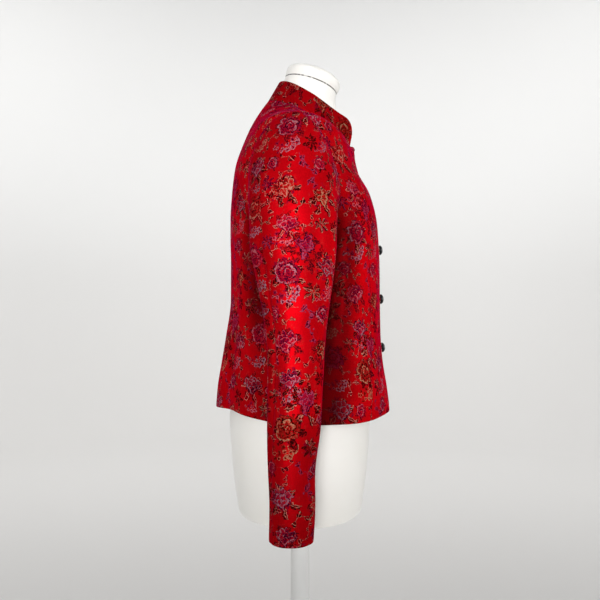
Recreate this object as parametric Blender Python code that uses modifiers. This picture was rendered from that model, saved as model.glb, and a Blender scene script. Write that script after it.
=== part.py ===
"""A tang jacket of floral brocade, buttoned on a limbless dress form that stands on a pole and a round base.

Metres, +Z up, the floor at z = 0. The jacket faces -Y, and the wearer's left is at +X.
The body of the jacket is one surface, point(angle, level): angle turns round the body from the centre
front towards the wearer's left, and level is the distance up from the hem along the side seam, the armhole's
chord and the shoulder seam. Panels are grids cut out of that surface, and a Solidify modifier gives the
cloth its wall.
"""

import math

import bmesh
import bpy
import numpy as np

# ---------------------------------------------------------------- driving dimensions
HEM_HEIGHT = 0.80
WALL = 0.0015
SEAM_GAP = 0.0005
SHOULDER_GAP = 0.0010
FRONT_OVERLAP = 0.012
OVERLAP_FADE = 0.010
LAYER_GAP = 0.0008

COLLAR_END = 0.022
COLLAR_CORNER = 0.027
COLLAR_BASE_GAP = 0.0007
COLLAR_INSET = 0.0003
COLLAR_CROWDING = 0.09

BUTTON_RADIUS = 0.0087
BUTTON_HEIGHT = 0.0062
SHANK_RADIUS = 0.0025
SHANK_LENGTH = 0.0012
BUTTON_LEVELS = (0.0975, 0.1820, 0.2670)

SHOULDER_LEVEL = 0.458
UNDERARM_LEVEL = 0.285
NECK_LEVEL = 0.588
ARMHOLE_FRONT_DEG = 20.1
ARMHOLE_BACK_DEG = 26.9
ARMHOLE_FRONT_LOW = 0.28
RIDGE_POWER = 24

SLEEVE_SEAM_GAP = 0.0012
SLEEVE_TUBE_TOP = 0.2556

FORM_CLEARANCE = 0.0025
FORM_TIP_CLEARANCE = 0.0085
FORM_TIP_LEVEL = 0.42
FORM_TIP_SPREAD = 0.05
FORM_BOTTOM = -0.170
FORM_BLEND = (0.330, 0.400)
NECK_ROWS = 6

POLE_RADIUS = 0.016
BASE_RADIUS = 0.170
BASE_THICKNESS = 0.016
BASE_ROUND = 0.003
SEAT_GAP = 0.0003
BUTTON_GAP = 0.0004

# ---------------------------------------------------------------- cross-sections
# Each row is one ring. Reaches run forward (front) or backward (back) of the pole's axis, and rises are above
# the hem. A square of 2 is an ellipse and more is boxier. A fall lowers the ring between its centre and side.
RING_COLUMNS = (
    "level", "half_width", "side_reach", "side_rise", "front_reach", "front_rise",
    "back_reach", "back_rise", "front_square", "back_square", "front_fall", "back_fall", "rise_power",
)
JACKET_RINGS = (
    (0.000, 0.190, 0.004, -0.0033, 0.1520, 0.0000, 0.1450, 0.0005, 2.20, 1.75, 0.0030, -0.0070, 2.0),
    (0.033, 0.187, 0.004, 0.0315, 0.1475, 0.0330, 0.1420, 0.0330, 2.25, 1.82, 0.0015, -0.0040, 2.0),
    (0.076, 0.182, 0.003, 0.0755, 0.1405, 0.0760, 0.1345, 0.0760, 2.30, 1.92, 0.0, -0.0015, 2.0),
    (0.118, 0.176, 0.002, 0.1180, 0.1370, 0.1180, 0.1270, 0.1180, 2.35, 2.05, 0.0, 0.0, 2.0),
    (0.181, 0.169, 0.001, 0.1810, 0.1358, 0.1810, 0.1185, 0.1810, 2.35, 2.20, 0.0, 0.0, 2.0),
    (0.240, 0.168, 0.000, 0.2400, 0.1352, 0.2400, 0.1183, 0.2400, 2.35, 2.30, 0.0, 0.0, 2.0),
    (0.285, 0.170, 0.000, 0.2850, 0.1330, 0.2850, 0.1190, 0.2850, 2.38, 2.35, 0.0, 0.0, 2.0),
    (0.314, 0.172, 0.000, 0.3140, 0.1305, 0.3140, 0.1190, 0.3140, 2.40, 2.35, 0.0, 0.0, 2.0),
    (0.355, 0.177, -0.002, 0.3550, 0.1203, 0.3550, 0.1165, 0.3550, 2.38, 2.35, 0.002, 0.002, 2.0),
    (0.400, 0.180, -0.004, 0.4000, 0.0985, 0.3986, 0.1105, 0.4046, 2.32, 2.35, 0.007, 0.005, 2.0),
    (0.458, 0.172, -0.005, 0.4560, 0.0925, 0.4256, 0.0848, 0.4806, 2.15, 2.30, 0.013, 0.015, 1.9),
    (0.523, 0.126, 0.000, 0.4751, 0.0920, 0.4361, 0.0708, 0.5036, 1.95, 2.15, 0.010, 0.008, 1.5),
    (0.588, 0.066, 0.013, 0.4906, 0.0935, 0.4426, 0.0570, 0.5226, 1.60, 2.05, 0.002, 0.0, 1.0),
)
# The shoulder seam is a ridge: at the very side the surface runs out to these places instead.
RIDGE_COLUMNS = ("level", "half_width", "side_rise")
SHOULDER_RIDGE = (
    (0.314, 0.172, 0.3140), (0.355, 0.177, 0.3550), (0.400, 0.183, 0.4000),
    (0.458, 0.190, 0.4580), (0.523, 0.128, 0.4755), (0.588, 0.066, 0.4906),
)
FORM_RINGS = (
    (-0.170, 0.148, 0.0, -0.170, 0.1060, -0.170, 0.1060, -0.170, 2.2, 2.2, 0.0, 0.0, 2.0),
    (-0.095, 0.162, 0.0, -0.095, 0.1150, -0.095, 0.1160, -0.095, 2.2, 2.1, 0.0, 0.0, 2.0),
    (-0.020, 0.166, 0.0, -0.020, 0.1190, -0.020, 0.1210, -0.020, 2.2, 2.0, 0.0, 0.0, 2.0),
    (0.070, 0.148, 0.0, 0.070, 0.1080, 0.070, 0.1080, 0.070, 2.2, 2.0, 0.0, 0.0, 2.0),
    (0.155, 0.124, 0.0, 0.155, 0.0950, 0.155, 0.0880, 0.155, 2.2, 2.1, 0.0, 0.0, 2.0),
    (0.235, 0.136, 0.0, 0.235, 0.1110, 0.235, 0.0970, 0.235, 2.2, 2.2, 0.0, 0.0, 2.0),
    (0.300, 0.148, 0.0, 0.300, 0.1240, 0.300, 0.1100, 0.300, 2.25, 2.3, 0.0, 0.0, 2.0),
    (0.355, 0.156, 0.0, 0.355, 0.1130, 0.355, 0.1105, 0.355, 2.3, 2.3, 0.002, 0.002, 2.0),
)

# The neck and its cap are tilted ovals: distance up the neck from the seam between them, and half sizes.
NECK_SEAM_FORWARD = 0.0185
NECK_SEAM_RISE = 0.5531
NECK_TILT_DEG = 17.5
CAP_COLUMNS = ("up", "half_across", "half_along", "forward")
CAP_RINGS = (
    (0.0000, 0.0490, 0.0465, 0.0000), (0.0080, 0.0510, 0.0485, 0.0008), (0.0150, 0.0505, 0.0478, 0.0008),
    (0.0200, 0.0465, 0.0440, 0.0004), (0.0230, 0.0400, 0.0375, 0.0000), (0.0245, 0.0200, 0.0185, 0.0000),
)

COLLAR_TOP_RING = (
    0.0, 0.058, 0.0226, 0.5225, 0.1005, 0.4836, 0.0375, 0.5560, 1.80, 2.05, 0.001, -0.0015, 1.0
)

# Where the front princess seam runs: up the front, then across to the armhole.
PRINCESS_COLUMNS = ("level", "degrees")
PRINCESS_SEAM = (
    (0.0000, 53.0), (0.0600, 48.5), (0.1200, 45.0), (0.1800, 43.5), (0.2400, 45.0),
    (0.2700, 48.0), (0.2850, 51.0), (0.2966, 54.5), (0.3103, 60.5), (0.3283, 69.5),
)

# The sleeve's tube below the armhole: rise above the hem, centre and half sizes across and front to back.
SLEEVE_COLUMNS = ("rise", "centre_across", "centre_forward", "half_across", "half_forward")
SLEEVE_RINGS = (
    (0.2556, 0.2110, -0.0100, 0.0365, 0.0620),
    (0.2150, 0.2110, -0.0078, 0.0360, 0.0560),
    (0.1500, 0.2120, -0.0055, 0.0350, 0.0460),
    (0.1100, 0.2150, -0.0055, 0.0340, 0.0420),
    (0.0530, 0.2205, -0.0070, 0.0330, 0.0390),
    (0.0000, 0.2265, -0.0085, 0.0325, 0.0375),
    (-0.0650, 0.2270, -0.0120, 0.0318, 0.0335),
    (-0.1100, 0.2268, -0.0113, 0.0312, 0.0327),
    (-0.1598, 0.2262, -0.0125, 0.0308, 0.0312),
)

# The skirt's soft folds: where each stands, how wide and how far out it is at the hem, and its top.
FOLD_COLUMNS = ("degrees", "width", "height", "top_level")
SKIRT_FOLDS = (
    (-158.0, 9.0, 0.0035, 0.26), (-139.0, 8.0, -0.0030, 0.20), (-121.0, 9.0, 0.0030, 0.24),
    (-62.0, 8.0, 0.0022, 0.20), (-42.0, 9.0, -0.0022, 0.17), (-24.0, 8.0, 0.0020, 0.14),
    (27.0, 9.0, 0.0018, 0.16), (45.0, 8.0, -0.0024, 0.20), (64.0, 9.0, 0.0024, 0.17),
    (119.0, 9.0, 0.0026, 0.22), (136.0, 8.0, -0.0032, 0.26), (156.0, 10.0, 0.0036, 0.21),
)
# The sleeve's soft folds: rise above the hem, turn round the sleeve, height, and half lengths each way.
CREASE_COLUMNS = ("rise", "degrees", "height", "half_length", "half_turn", "slant")
SLEEVE_CREASES = (
    (0.335, 205.0, -0.0030, 0.060, 26.0, 220.0),
    (0.300, 145.0, -0.0030, 0.050, 24.0, -240.0),
    (0.190, 285.0, -0.0034, 0.110, 20.0, 0.0),
    (0.120, 60.0, -0.0026, 0.070, 24.0, 160.0),
    (0.060, 300.0, -0.0026, 0.080, 22.0, -60.0),
    (-0.040, 100.0, -0.0020, 0.060, 26.0, 90.0),
    (-0.090, 250.0, -0.0018, 0.050, 24.0, -80.0),
)

# ---------------------------------------------------------------- grid counts
SKIRT_ROWS = 14
ARMHOLE_STEPS = 12
SHOULDER_ROWS = 7
PRINCESS_STEP = 8
CENTRE_FRONT_COLUMNS = 7
SIDE_FRONT_COLUMNS = 6
BACK_COLUMNS = 22
SLEEVE_CAP_ROWS = 7
SLEEVE_TUBE_ROWS = 15
COLLAR_COLUMNS = 34
COLLAR_ROWS = 4
FORM_COLUMNS = 36
BUTTON_STEPS = 16


# ---------------------------------------------------------------- curves through tables
def smooth_curve(places, values, corner=None):
    """A smooth curve through the values that never overshoots; at the corner it may turn sharply."""
    places = np.asarray(places, float)
    values = np.asarray(values, float)
    step = np.diff(places)
    rise = np.diff(values) / step
    slope = np.zeros(len(places))
    slope[0], slope[-1] = rise[0], rise[-1]
    same_way = rise[:-1] * rise[1:] > 0
    before = 2 * step[1:] + step[:-1]
    after = step[1:] + 2 * step[:-1]
    safe_low = np.where(same_way, rise[:-1], 1.0)
    safe_high = np.where(same_way, rise[1:], 1.0)
    slope[1:-1] = np.where(same_way, (before + after) / (before / safe_low + after / safe_high), 0.0)
    slope_in, slope_out = slope.copy(), slope.copy()
    if corner is not None:
        at = int(np.argmin(abs(places - corner)))
        slope_in[at], slope_out[at] = rise[at - 1], rise[at]

    def curve(where):
        where = np.clip(np.asarray(where, float), places[0], places[-1])
        k = np.clip(np.searchsorted(places, where, side="right") - 1, 0, len(step) - 1)
        t = (where - places[k]) / step[k]
        return (
            (1 + 2 * t) * (1 - t) ** 2 * values[k]
            + t * (1 - t) ** 2 * step[k] * slope_out[k]
            + t**2 * (3 - 2 * t) * values[k + 1]
            + t**2 * (t - 1) * step[k] * slope_in[k + 1]
        )

    return curve


def table_curves(rows, columns, corners=None):
    """One smooth curve for each column after the first, by name, against the first column."""
    by_place = np.array(sorted(rows))
    corners = corners or {}
    return {
        name: smooth_curve(by_place[:, 0], by_place[:, i], corners.get(name))
        for i, name in enumerate(columns)
        if i > 0
    }


def ring_values(curves, level):
    """The curves' values at these levels, by column name."""
    return {name: curve(level) for name, curve in curves.items()}


def ring_point(ring, angle):
    """A point of a ring: a superellipse in plan, whose height follows the front, the side and the back."""
    ahead = np.cos(angle) >= 0
    square = np.where(ahead, ring["front_square"], ring["back_square"])
    depth = np.where(
        ahead, ring["front_reach"] - ring["side_reach"], ring["back_reach"] + ring["side_reach"]
    )
    radius = (
        abs(np.sin(angle) / ring["half_width"]) ** square + abs(np.cos(angle) / depth) ** square
    ) ** (-1 / square)
    end_rise = np.where(ahead, ring["front_rise"], ring["back_rise"])
    fall = np.where(ahead, ring["front_fall"], ring["back_fall"])
    rise = (
        ring["side_rise"]
        + (end_rise - ring["side_rise"]) * abs(np.cos(angle)) ** ring["rise_power"]
        - fall * np.sin(2 * angle) ** 2
    )
    across = radius * np.sin(angle)
    forward = ring["side_reach"] + radius * np.cos(angle)
    return np.stack([across, -forward, HEM_HEIGHT + rise], axis=-1)


JACKET = table_curves(JACKET_RINGS, RING_COLUMNS)
RIDGE = table_curves(
    SHOULDER_RIDGE, RIDGE_COLUMNS, {"half_width": SHOULDER_LEVEL, "side_rise": SHOULDER_LEVEL}
)


def skirt_fold(angle, level):
    """How far the skirt's soft folds stand out: a bell across each fold, fading up to its top."""
    turn = np.degrees((angle + math.pi) % (2 * math.pi) - math.pi)
    out = np.zeros(np.broadcast(angle, level).shape)
    for row in SKIRT_FOLDS:
        fold = dict(zip(FOLD_COLUMNS, row))
        fade = np.clip(1 - level / fold["top_level"], 0, 1) ** 1.5
        out += fold["height"] * fade * np.exp(-(((turn - fold["degrees"]) / fold["width"]) ** 2))
    return out


def plain_point(angle, level):
    """The jacket's outer surface without its folds: rounded, but for the ridge along the shoulder seam."""
    ring = ring_values(JACKET, level)
    near_seam = np.where(level > SHOULDER_RIDGE[0][0], abs(np.sin(angle)) ** RIDGE_POWER, 0.0)
    for name in RIDGE_COLUMNS[1:]:
        ring[name] = ring[name] * (1 - near_seam) + RIDGE[name](level) * near_seam
    return ring_point(ring, angle)


def body_point(angle, level):
    """The jacket's outer surface, with its soft folds."""
    out = np.stack([np.sin(angle), -np.cos(angle), np.zeros_like(angle)], axis=-1)
    return plain_point(angle, level) + out * skirt_fold(angle, level)[..., None]


def normal_of(surface, a, b, step=1e-4):
    """The outward unit normal of surface(a, b), from points a small step either side."""
    along_a = surface(a + step, b) - surface(a - step, b)
    along_b = surface(a, b + step) - surface(a, b - step)
    normal = np.cross(along_a, along_b)
    return normal / np.linalg.norm(normal, axis=-1, keepdims=True)


def cloth_point(angle, level, lift=0.0):
    """The middle of the cloth's wall, half its thickness inside the outer surface, lifted by lift."""
    inner_level = np.clip(level, 1e-3, NECK_LEVEL - 1e-3)
    normal = normal_of(body_point, angle, inner_level)
    return body_point(angle, level) + normal * (np.asarray(lift) - WALL / 2)[..., None]


# ---------------------------------------------------------------- seams
def armhole(turn):
    """The armhole on the wearer's left at turn radians: 0 at the shoulder tip, a quarter at the front."""
    level = (SHOULDER_LEVEL + UNDERARM_LEVEL) / 2 + (SHOULDER_LEVEL - UNDERARM_LEVEL) / 2 * np.cos(turn)
    front_swing = ARMHOLE_FRONT_DEG * (1 - ARMHOLE_FRONT_LOW * np.cos(turn))
    swing = np.where(np.sin(turn) > 0, front_swing, ARMHOLE_BACK_DEG)
    return np.radians(90 - swing * np.sin(turn)), level


PRINCESS = table_curves(PRINCESS_SEAM, PRINCESS_COLUMNS)["degrees"]
SKIRT_LEVELS = UNDERARM_LEVEL * np.linspace(0, 1, SKIRT_ROWS + 1)
ARMHOLE_TURNS = math.pi - math.pi * np.arange(1, ARMHOLE_STEPS + 1) / ARMHOLE_STEPS
ARMHOLE_LEVELS = armhole(ARMHOLE_TURNS)[1]
SHOULDER_LEVELS = SHOULDER_LEVEL + (NECK_LEVEL - SHOULDER_LEVEL) * (
    np.arange(1, SHOULDER_ROWS + 1) / SHOULDER_ROWS
)
LEVELS = np.concatenate([SKIRT_LEVELS, ARMHOLE_LEVELS, SHOULDER_LEVELS])
PRINCESS_ROWS = SKIRT_ROWS + 1 + (ARMHOLE_STEPS - PRINCESS_STEP)


def side_edge(front):
    """The angle at each level where a front, or the back, meets the side seam, armhole or shoulder seam."""
    turns = ARMHOLE_TURNS if front else -ARMHOLE_TURNS
    in_armhole = armhole(turns)[0]
    straight = math.pi / 2
    edge = np.concatenate(
        [np.full(len(SKIRT_LEVELS), straight), in_armhole, np.full(SHOULDER_ROWS, straight)]
    )
    reach = np.linalg.norm(body_point(edge, LEVELS)[:, :2], axis=1)
    width = np.where(LEVELS < SHOULDER_LEVEL - 0.02, SEAM_GAP, SHOULDER_GAP)
    gap = width / 2 / reach
    return edge - gap if front else edge + gap


def princess_edge(towards_side):
    """The angle of the princess seam at each level that it reaches, half the seam gap to one side of it."""
    levels = LEVELS[:PRINCESS_ROWS]
    edge = np.radians(PRINCESS(levels))
    reach = np.linalg.norm(body_point(edge, levels)[:, :2], axis=1)
    return edge + (1 if towards_side else -1) * SEAM_GAP / reach


def front_line(across):
    """The angle, level by level, of an upright line on the front, this far left of the centre."""
    ring = ring_values(JACKET, LEVELS)
    return np.arctan2(across, ring["front_reach"] - ring["side_reach"])


# ---------------------------------------------------------------- meshes
def material(name, colour, roughness, metallic=0.0):
    made = bpy.data.materials.new(name)
    made.use_nodes = True
    shader = made.node_tree.nodes["Principled BSDF"]
    shader.inputs["Base Color"].default_value = (*colour, 1.0)
    shader.inputs["Roughness"].default_value = roughness
    shader.inputs["Metallic"].default_value = metallic
    made.diffuse_color = (*colour, 1.0)
    return made


def link(obj, collection, finish):
    collection.objects.link(obj)
    obj.data.materials.append(finish)
    return obj


def grid_object(name, columns, rows, place, collection, finish, closed_round=False):
    """A grid of columns by rows whose points are place(column numbers, row numbers)."""
    bm = bmesh.new()
    bmesh.ops.create_grid(bm, x_segments=columns, y_segments=rows, size=0.5)
    flat = np.array([vert.co for vert in bm.verts])
    column = np.rint((flat[:, 0] + 0.5) * columns).astype(int)
    row = np.rint((flat[:, 1] + 0.5) * rows).astype(int)
    for vert, point in zip(bm.verts, place(column, row)):
        vert.co = point
    if closed_round:
        bmesh.ops.remove_doubles(bm, verts=bm.verts, dist=1e-6)
    mesh = bpy.data.meshes.new(name)
    bm.to_mesh(mesh)
    bm.free()
    mesh.shade_smooth()
    return link(bpy.data.objects.new(name, mesh), collection, finish)


def give_wall(obj, thickness=WALL):
    """Turns an open sheet into cloth, half its thickness to each side."""
    wall = obj.modifiers.new("cloth wall", "SOLIDIFY")
    wall.thickness = thickness
    wall.offset = 0
    wall.use_even_offset = True
    return obj


def close_ends(obj):
    """Fills the two open ends of a tube and turns all faces outwards."""
    bm = bmesh.new()
    bm.from_mesh(obj.data)
    bmesh.ops.holes_fill(bm, edges=[edge for edge in bm.edges if edge.is_boundary], sides=0)
    bmesh.ops.recalc_face_normals(bm, faces=bm.faces)
    bm.to_mesh(obj.data)
    bm.free()
    obj.data.set_sharp_from_angle(angle=math.radians(50))
    return obj


# ---------------------------------------------------------------- the jacket's pieces
def overlap_lift(angle, level):
    """The right front rises over the left one near the centre line, and lies level beyond that."""
    across = body_point(angle, level)[..., 0]
    share = np.clip((across + FRONT_OVERLAP + OVERLAP_FADE) / OVERLAP_FADE, 0, 1)
    return (WALL + LAYER_GAP) * share**2 * (3 - 2 * share)


def between(low_edge, high_edge, columns):
    """Lines spread evenly from one edge to the other: an array of angles, levels by columns."""
    share = np.linspace(0, 1, columns + 1)
    return low_edge[:, None] * (1 - share) + high_edge[:, None] * share


def panel(name, angles, collection, finish, lift=None):
    """A body panel whose points stand at these angles, one row of them for each level from the hem up."""
    rows, columns = angles.shape[0] - 1, angles.shape[1] - 1

    def place(column, row):
        angle = angles[row, column]
        level = LEVELS[row]
        raised = lift(angle, level) if lift else np.zeros_like(angle)
        return cloth_point(angle, level, raised)

    return give_wall(grid_object(name, columns, rows, place, collection, finish))


def body_panels(collection, finish):
    side_front, side_back = side_edge(True), side_edge(False)
    outer = np.concatenate([princess_edge(False), side_front[PRINCESS_ROWS:]])
    lap = between(front_line(-FRONT_OVERLAP), front_line(FRONT_OVERLAP), 2)
    fade = between(front_line(FRONT_OVERLAP), front_line(FRONT_OVERLAP + OVERLAP_FADE), 2)
    rest = between(front_line(FRONT_OVERLAP + OVERLAP_FADE), outer, CENTRE_FRONT_COLUMNS)
    centre = np.concatenate([lap, fade[:, 1:], rest[:, 1:]], axis=1)
    side = between(princess_edge(True), side_front[:PRINCESS_ROWS], SIDE_FRONT_COLUMNS)
    panel("centre_front_left", centre, collection, finish)
    panel("centre_front_right", -centre[:, ::-1], collection, finish, overlap_lift)
    panel("side_front_left", side, collection, finish)
    panel("side_front_right", -side[:, ::-1], collection, finish)
    panel("back", between(side_back, 2 * math.pi - side_back, BACK_COLUMNS), collection, finish)


SLEEVE_TUBE = table_curves(SLEEVE_RINGS, SLEEVE_COLUMNS)


def tube_point(turn, rise):
    """The sleeve's tube: an ellipse round a centre line, both read from the sleeve's rings."""
    ring = ring_values(SLEEVE_TUBE, rise)
    across = ring["centre_across"] + ring["half_across"] * np.cos(turn)
    forward = ring["centre_forward"] + ring["half_forward"] * np.sin(turn)
    return np.stack([across, -forward, HEM_HEIGHT + rise], axis=-1)


def sleeve_crease(turn, rise, side):
    """How far the sleeve's soft folds stand in: slanting bells, in another order on the other side."""
    out = np.zeros(np.broadcast(turn, rise).shape)
    for row in SLEEVE_CREASES:
        crease = dict(zip(CREASE_COLUMNS, row))
        centre = crease["degrees"] + crease["slant"] * (rise - crease["rise"])
        if side < 0:
            centre = centre + 14.0
        apart = (np.degrees(turn) - centre + 180) % 360 - 180
        along = (rise - crease["rise"]) / crease["half_length"]
        out += crease["height"] * np.exp(-(along**2) - (apart / crease["half_turn"]) ** 2)
    return out


def sleeve_point(turn, down, side):
    """The sleeve's cloth. Down runs from 0 at the armhole to 1 at the tube's top, where the cap is a smooth
    (Hermite) curve that leaves the armhole outwards and arrives straight down, and then to 2 at the cuff."""
    angle, level = armhole(turn)
    root = body_point(angle, level)
    root[..., 0] += SLEEVE_SEAM_GAP
    top = tube_point(turn, np.full_like(turn, SLEEVE_TUBE_TOP))
    outer = (1 + np.cos(turn)) / 2
    leave = np.stack([np.ones_like(turn), -0.15 * np.sin(turn), -0.32 * outer], axis=-1)
    leave = leave * (0.016 + 0.085 * outer)[..., None]
    arrive = np.zeros_like(top)
    arrive[..., 2] = -(0.030 + 0.230 * outer)
    t = np.clip(down, 0, 1)[..., None]
    cap = (
        (1 + 2 * t) * (1 - t) ** 2 * root
        + t * (1 - t) ** 2 * leave
        + t**2 * (3 - 2 * t) * top
        + t**2 * (t - 1) * arrive
    )
    cuff_rise = SLEEVE_RINGS[-1][0]
    rise = SLEEVE_TUBE_TOP + (cuff_rise - SLEEVE_TUBE_TOP) * np.clip(down - 1, 0, 1)
    tube = tube_point(turn, rise)
    point = np.where((down <= 1)[..., None], cap, tube)
    folds = sleeve_crease(turn, point[..., 2] - HEM_HEIGHT, side) * np.clip(down * 3, 0, 1)
    away = np.stack([np.cos(turn), -np.sin(turn), np.zeros_like(turn)], axis=-1)
    point = point + away * folds[..., None]
    point[..., 0] *= side
    return point


def sleeve(name, side, collection, finish):
    rows = SLEEVE_CAP_ROWS + SLEEVE_TUBE_ROWS
    columns = 2 * ARMHOLE_STEPS

    def place(column, row):
        turn = 2 * math.pi * (column % columns) / columns * side
        down = np.where(
            row <= SLEEVE_TUBE_ROWS, 2 - row / SLEEVE_TUBE_ROWS, (rows - row) / SLEEVE_CAP_ROWS
        )
        return sleeve_point(-turn, down, side)

    return give_wall(grid_object(name, columns, rows, place, collection, finish, closed_round=True))


def collar(collection, finish):
    """A strip round the neck, open at the centre front, with a rounded corner at each end."""
    neck = ring_values(JACKET, NECK_LEVEL)
    top = dict(zip(RING_COLUMNS, np.array(COLLAR_TOP_RING)))
    end = math.atan2(COLLAR_END, float(neck["front_reach"] - neck["side_reach"]))
    fine = np.linspace(end, 2 * math.pi - end, 721)
    path = ring_point(neck, fine)
    length = np.concatenate([[0], np.cumsum(np.linalg.norm(np.diff(path, axis=0), axis=1))])
    share = np.linspace(0, 1, COLLAR_COLUMNS + 1)
    crowded = share - COLLAR_CROWDING * np.sin(2 * math.pi * share)
    angle_at = np.interp(crowded * length[-1], length, fine)
    from_end = np.minimum(crowded, 1 - crowded) * length[-1]
    inside = np.clip(COLLAR_CORNER - from_end, 0, COLLAR_CORNER)
    cut_off = COLLAR_CORNER - np.sqrt(COLLAR_CORNER**2 - inside**2)

    def place(column, row):
        angle = angle_at[column]
        foot = ring_point(neck, angle)
        way = ring_point(top, angle) - foot
        height = np.linalg.norm(way, axis=-1)
        way = way / height[:, None]
        inwards = np.stack([-np.sin(angle), np.cos(angle), 0 * angle], axis=-1)
        full = height - cut_off[column] - COLLAR_BASE_GAP
        up = COLLAR_BASE_GAP + full * row / COLLAR_ROWS
        return foot + way * up[:, None] + inwards * (COLLAR_INSET + WALL / 2)

    return give_wall(grid_object("collar", COLLAR_COLUMNS, COLLAR_ROWS, place, collection, finish))


def button(number, level, collection, finish):
    """A domed button on a short shank: a turned profile, set on the right front at the centre line."""
    arc = np.linspace(math.pi / 2, 0, 7)
    dome = [(BUTTON_RADIUS * math.cos(a), 0.0, SHANK_LENGTH + BUTTON_HEIGHT * math.sin(a)) for a in arc]
    foot = [(SHANK_RADIUS, 0.0, SHANK_LENGTH), (SHANK_RADIUS, 0.0, 0.0), (0.0, 0.0, 0.0)]
    profile = dome + foot
    profile[0] = (0.0, 0.0, profile[0][2])
    mesh = bpy.data.meshes.new(f"button_{number}")
    mesh.from_pydata(profile, [(i, i + 1) for i in range(len(profile) - 1)], [])
    obj = link(bpy.data.objects.new(f"button_{number}", mesh), collection, finish)
    turned = obj.modifiers.new("turned", "SCREW")
    turned.steps = turned.render_steps = BUTTON_STEPS
    turned.use_merge_vertices = True
    turned.merge_threshold = 1e-5
    turned.use_smooth_shade = True
    centre, at = np.array([0.0]), np.array([level])
    normal = normal_of(body_point, centre, at)[0]
    seat = body_point(centre, at)[0] + normal * (WALL + LAYER_GAP + BUTTON_GAP)
    obj.location = seat
    obj.rotation_euler = (math.atan2(-normal[1], normal[2]), 0.0, 0.0)
    return obj


# ---------------------------------------------------------------- the dress form and its stand
FORM = table_curves(FORM_RINGS, RING_COLUMNS)


def oval(angle, up, half_across, half_along, forward):
    """A point of an oval round the neck's tilted axis, this far up it from the cap's seam."""
    tilt = math.radians(NECK_TILT_DEG)
    along = forward + half_along * np.cos(angle)
    ahead = NECK_SEAM_FORWARD + along * math.cos(tilt) + up * math.sin(tilt)
    rise = NECK_SEAM_RISE - along * math.sin(tilt) + up * math.cos(tilt)
    return np.stack([half_across * np.sin(angle), -ahead, HEM_HEIGHT + rise], axis=-1)


def inset_point(angle, level):
    """The form under the cloth: the jacket's plain surface moved in, and further in by the armholes."""
    near_tip = np.exp(-(((level - FORM_TIP_LEVEL) / FORM_TIP_SPREAD) ** 2)) * abs(np.sin(angle)) ** 3
    depth = FORM_CLEARANCE + FORM_TIP_CLEARANCE * near_tip
    normal = normal_of(plain_point, angle, np.clip(level, 0, NECK_LEVEL - 1e-3))
    return plain_point(angle, level) - normal * depth[..., None]


def form_point(angle, level):
    """The form: its own rings up to the bust, and the jacket's surface moved in above."""
    own = ring_point(ring_values(FORM, level), angle)
    share = np.clip((level - FORM_BLEND[0]) / (FORM_BLEND[1] - FORM_BLEND[0]), 0, 1)
    share = (share**2 * (3 - 2 * share))[..., None]
    return own * (1 - share) + inset_point(angle, level) * share


def neck_point(angle, share):
    """The neck: a smooth (Hermite) curve from the base of the neck up to the oval of the cap's seam."""
    base = inset_point(angle, np.full_like(angle, NECK_LEVEL))
    top = oval(angle, 0.0, *CAP_RINGS[0][1:])
    inwards = np.stack([-np.sin(angle), np.cos(angle), 0 * angle], axis=-1)
    leave = inwards * 0.045 + np.array([0.0, 0.0, 0.030])
    arrive = (oval(angle, 0.05, *CAP_RINGS[0][1:]) - top) * 1.2
    t = share[..., None]
    return (
        (1 + 2 * t) * (1 - t) ** 2 * base
        + t * (1 - t) ** 2 * leave
        + t**2 * (3 - 2 * t) * top
        + t**2 * (t - 1) * arrive
    )


def round_body(name, rows, place, collection, finish):
    """A closed body through rings: place gives the points of a ring's angles, by row number."""
    def at(column, row):
        return place(2 * math.pi * (column % FORM_COLUMNS) / FORM_COLUMNS, row)

    return close_ends(grid_object(name, FORM_COLUMNS, rows, at, collection, finish, closed_round=True))


def dress_form(collection, cover, metal):
    lower = np.linspace(FORM_BOTTOM, 0.30, 13)
    levels = np.concatenate([lower, LEVELS[LEVELS > 0.31]])
    body_rows = len(levels)

    def body(angle, row):
        level = levels[np.minimum(row, body_rows - 1)]
        share = np.clip((row - body_rows + 1) / NECK_ROWS, 0, 1)
        lower_part = form_point(angle, level)
        return np.where((row < body_rows)[..., None], lower_part, neck_point(angle, share))

    round_body("dress_form", body_rows - 1 + NECK_ROWS, body, collection, cover)

    cap = table_curves(CAP_RINGS, CAP_COLUMNS)
    ups = np.array([0.0, 0.004, 0.008, 0.012, 0.015, 0.0177, 0.020, 0.0218, 0.023, 0.0245])

    def cap_place(angle, row):
        up = ups[row]
        return oval(angle, up + SEAT_GAP, *(cap[name](up) for name in CAP_COLUMNS[1:]))

    round_body("neck_cap", len(ups) - 1, cap_place, collection, cover)
    pole_bottom = BASE_THICKNESS + SEAT_GAP
    pole_top = HEM_HEIGHT + FORM_BOTTOM - SEAT_GAP
    upright("stand_pole", POLE_RADIUS, pole_bottom, pole_top, 24, collection, metal)
    base = upright("stand_base", BASE_RADIUS, 0.0, BASE_THICKNESS, 56, collection, metal)
    rounded = base.modifiers.new("rounded rim", "BEVEL")
    rounded.width = BASE_ROUND
    rounded.segments = 2
    rounded.limit_method = "ANGLE"
    rounded.angle_limit = math.radians(60)


def upright(name, radius, bottom, top, sides, collection, finish):
    """An upright cylinder between two heights on the pole's axis."""
    bm = bmesh.new()
    bmesh.ops.create_cone(
        bm, cap_ends=True, segments=sides, radius1=radius, radius2=radius, depth=top - bottom
    )
    mesh = bpy.data.meshes.new(name)
    bm.to_mesh(mesh)
    bm.free()
    mesh.shade_smooth()
    mesh.set_sharp_from_angle(angle=math.radians(40))
    obj = link(bpy.data.objects.new(name, mesh), collection, finish)
    obj.location = (0.0, 0.0, (bottom + top) / 2)
    return obj


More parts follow.
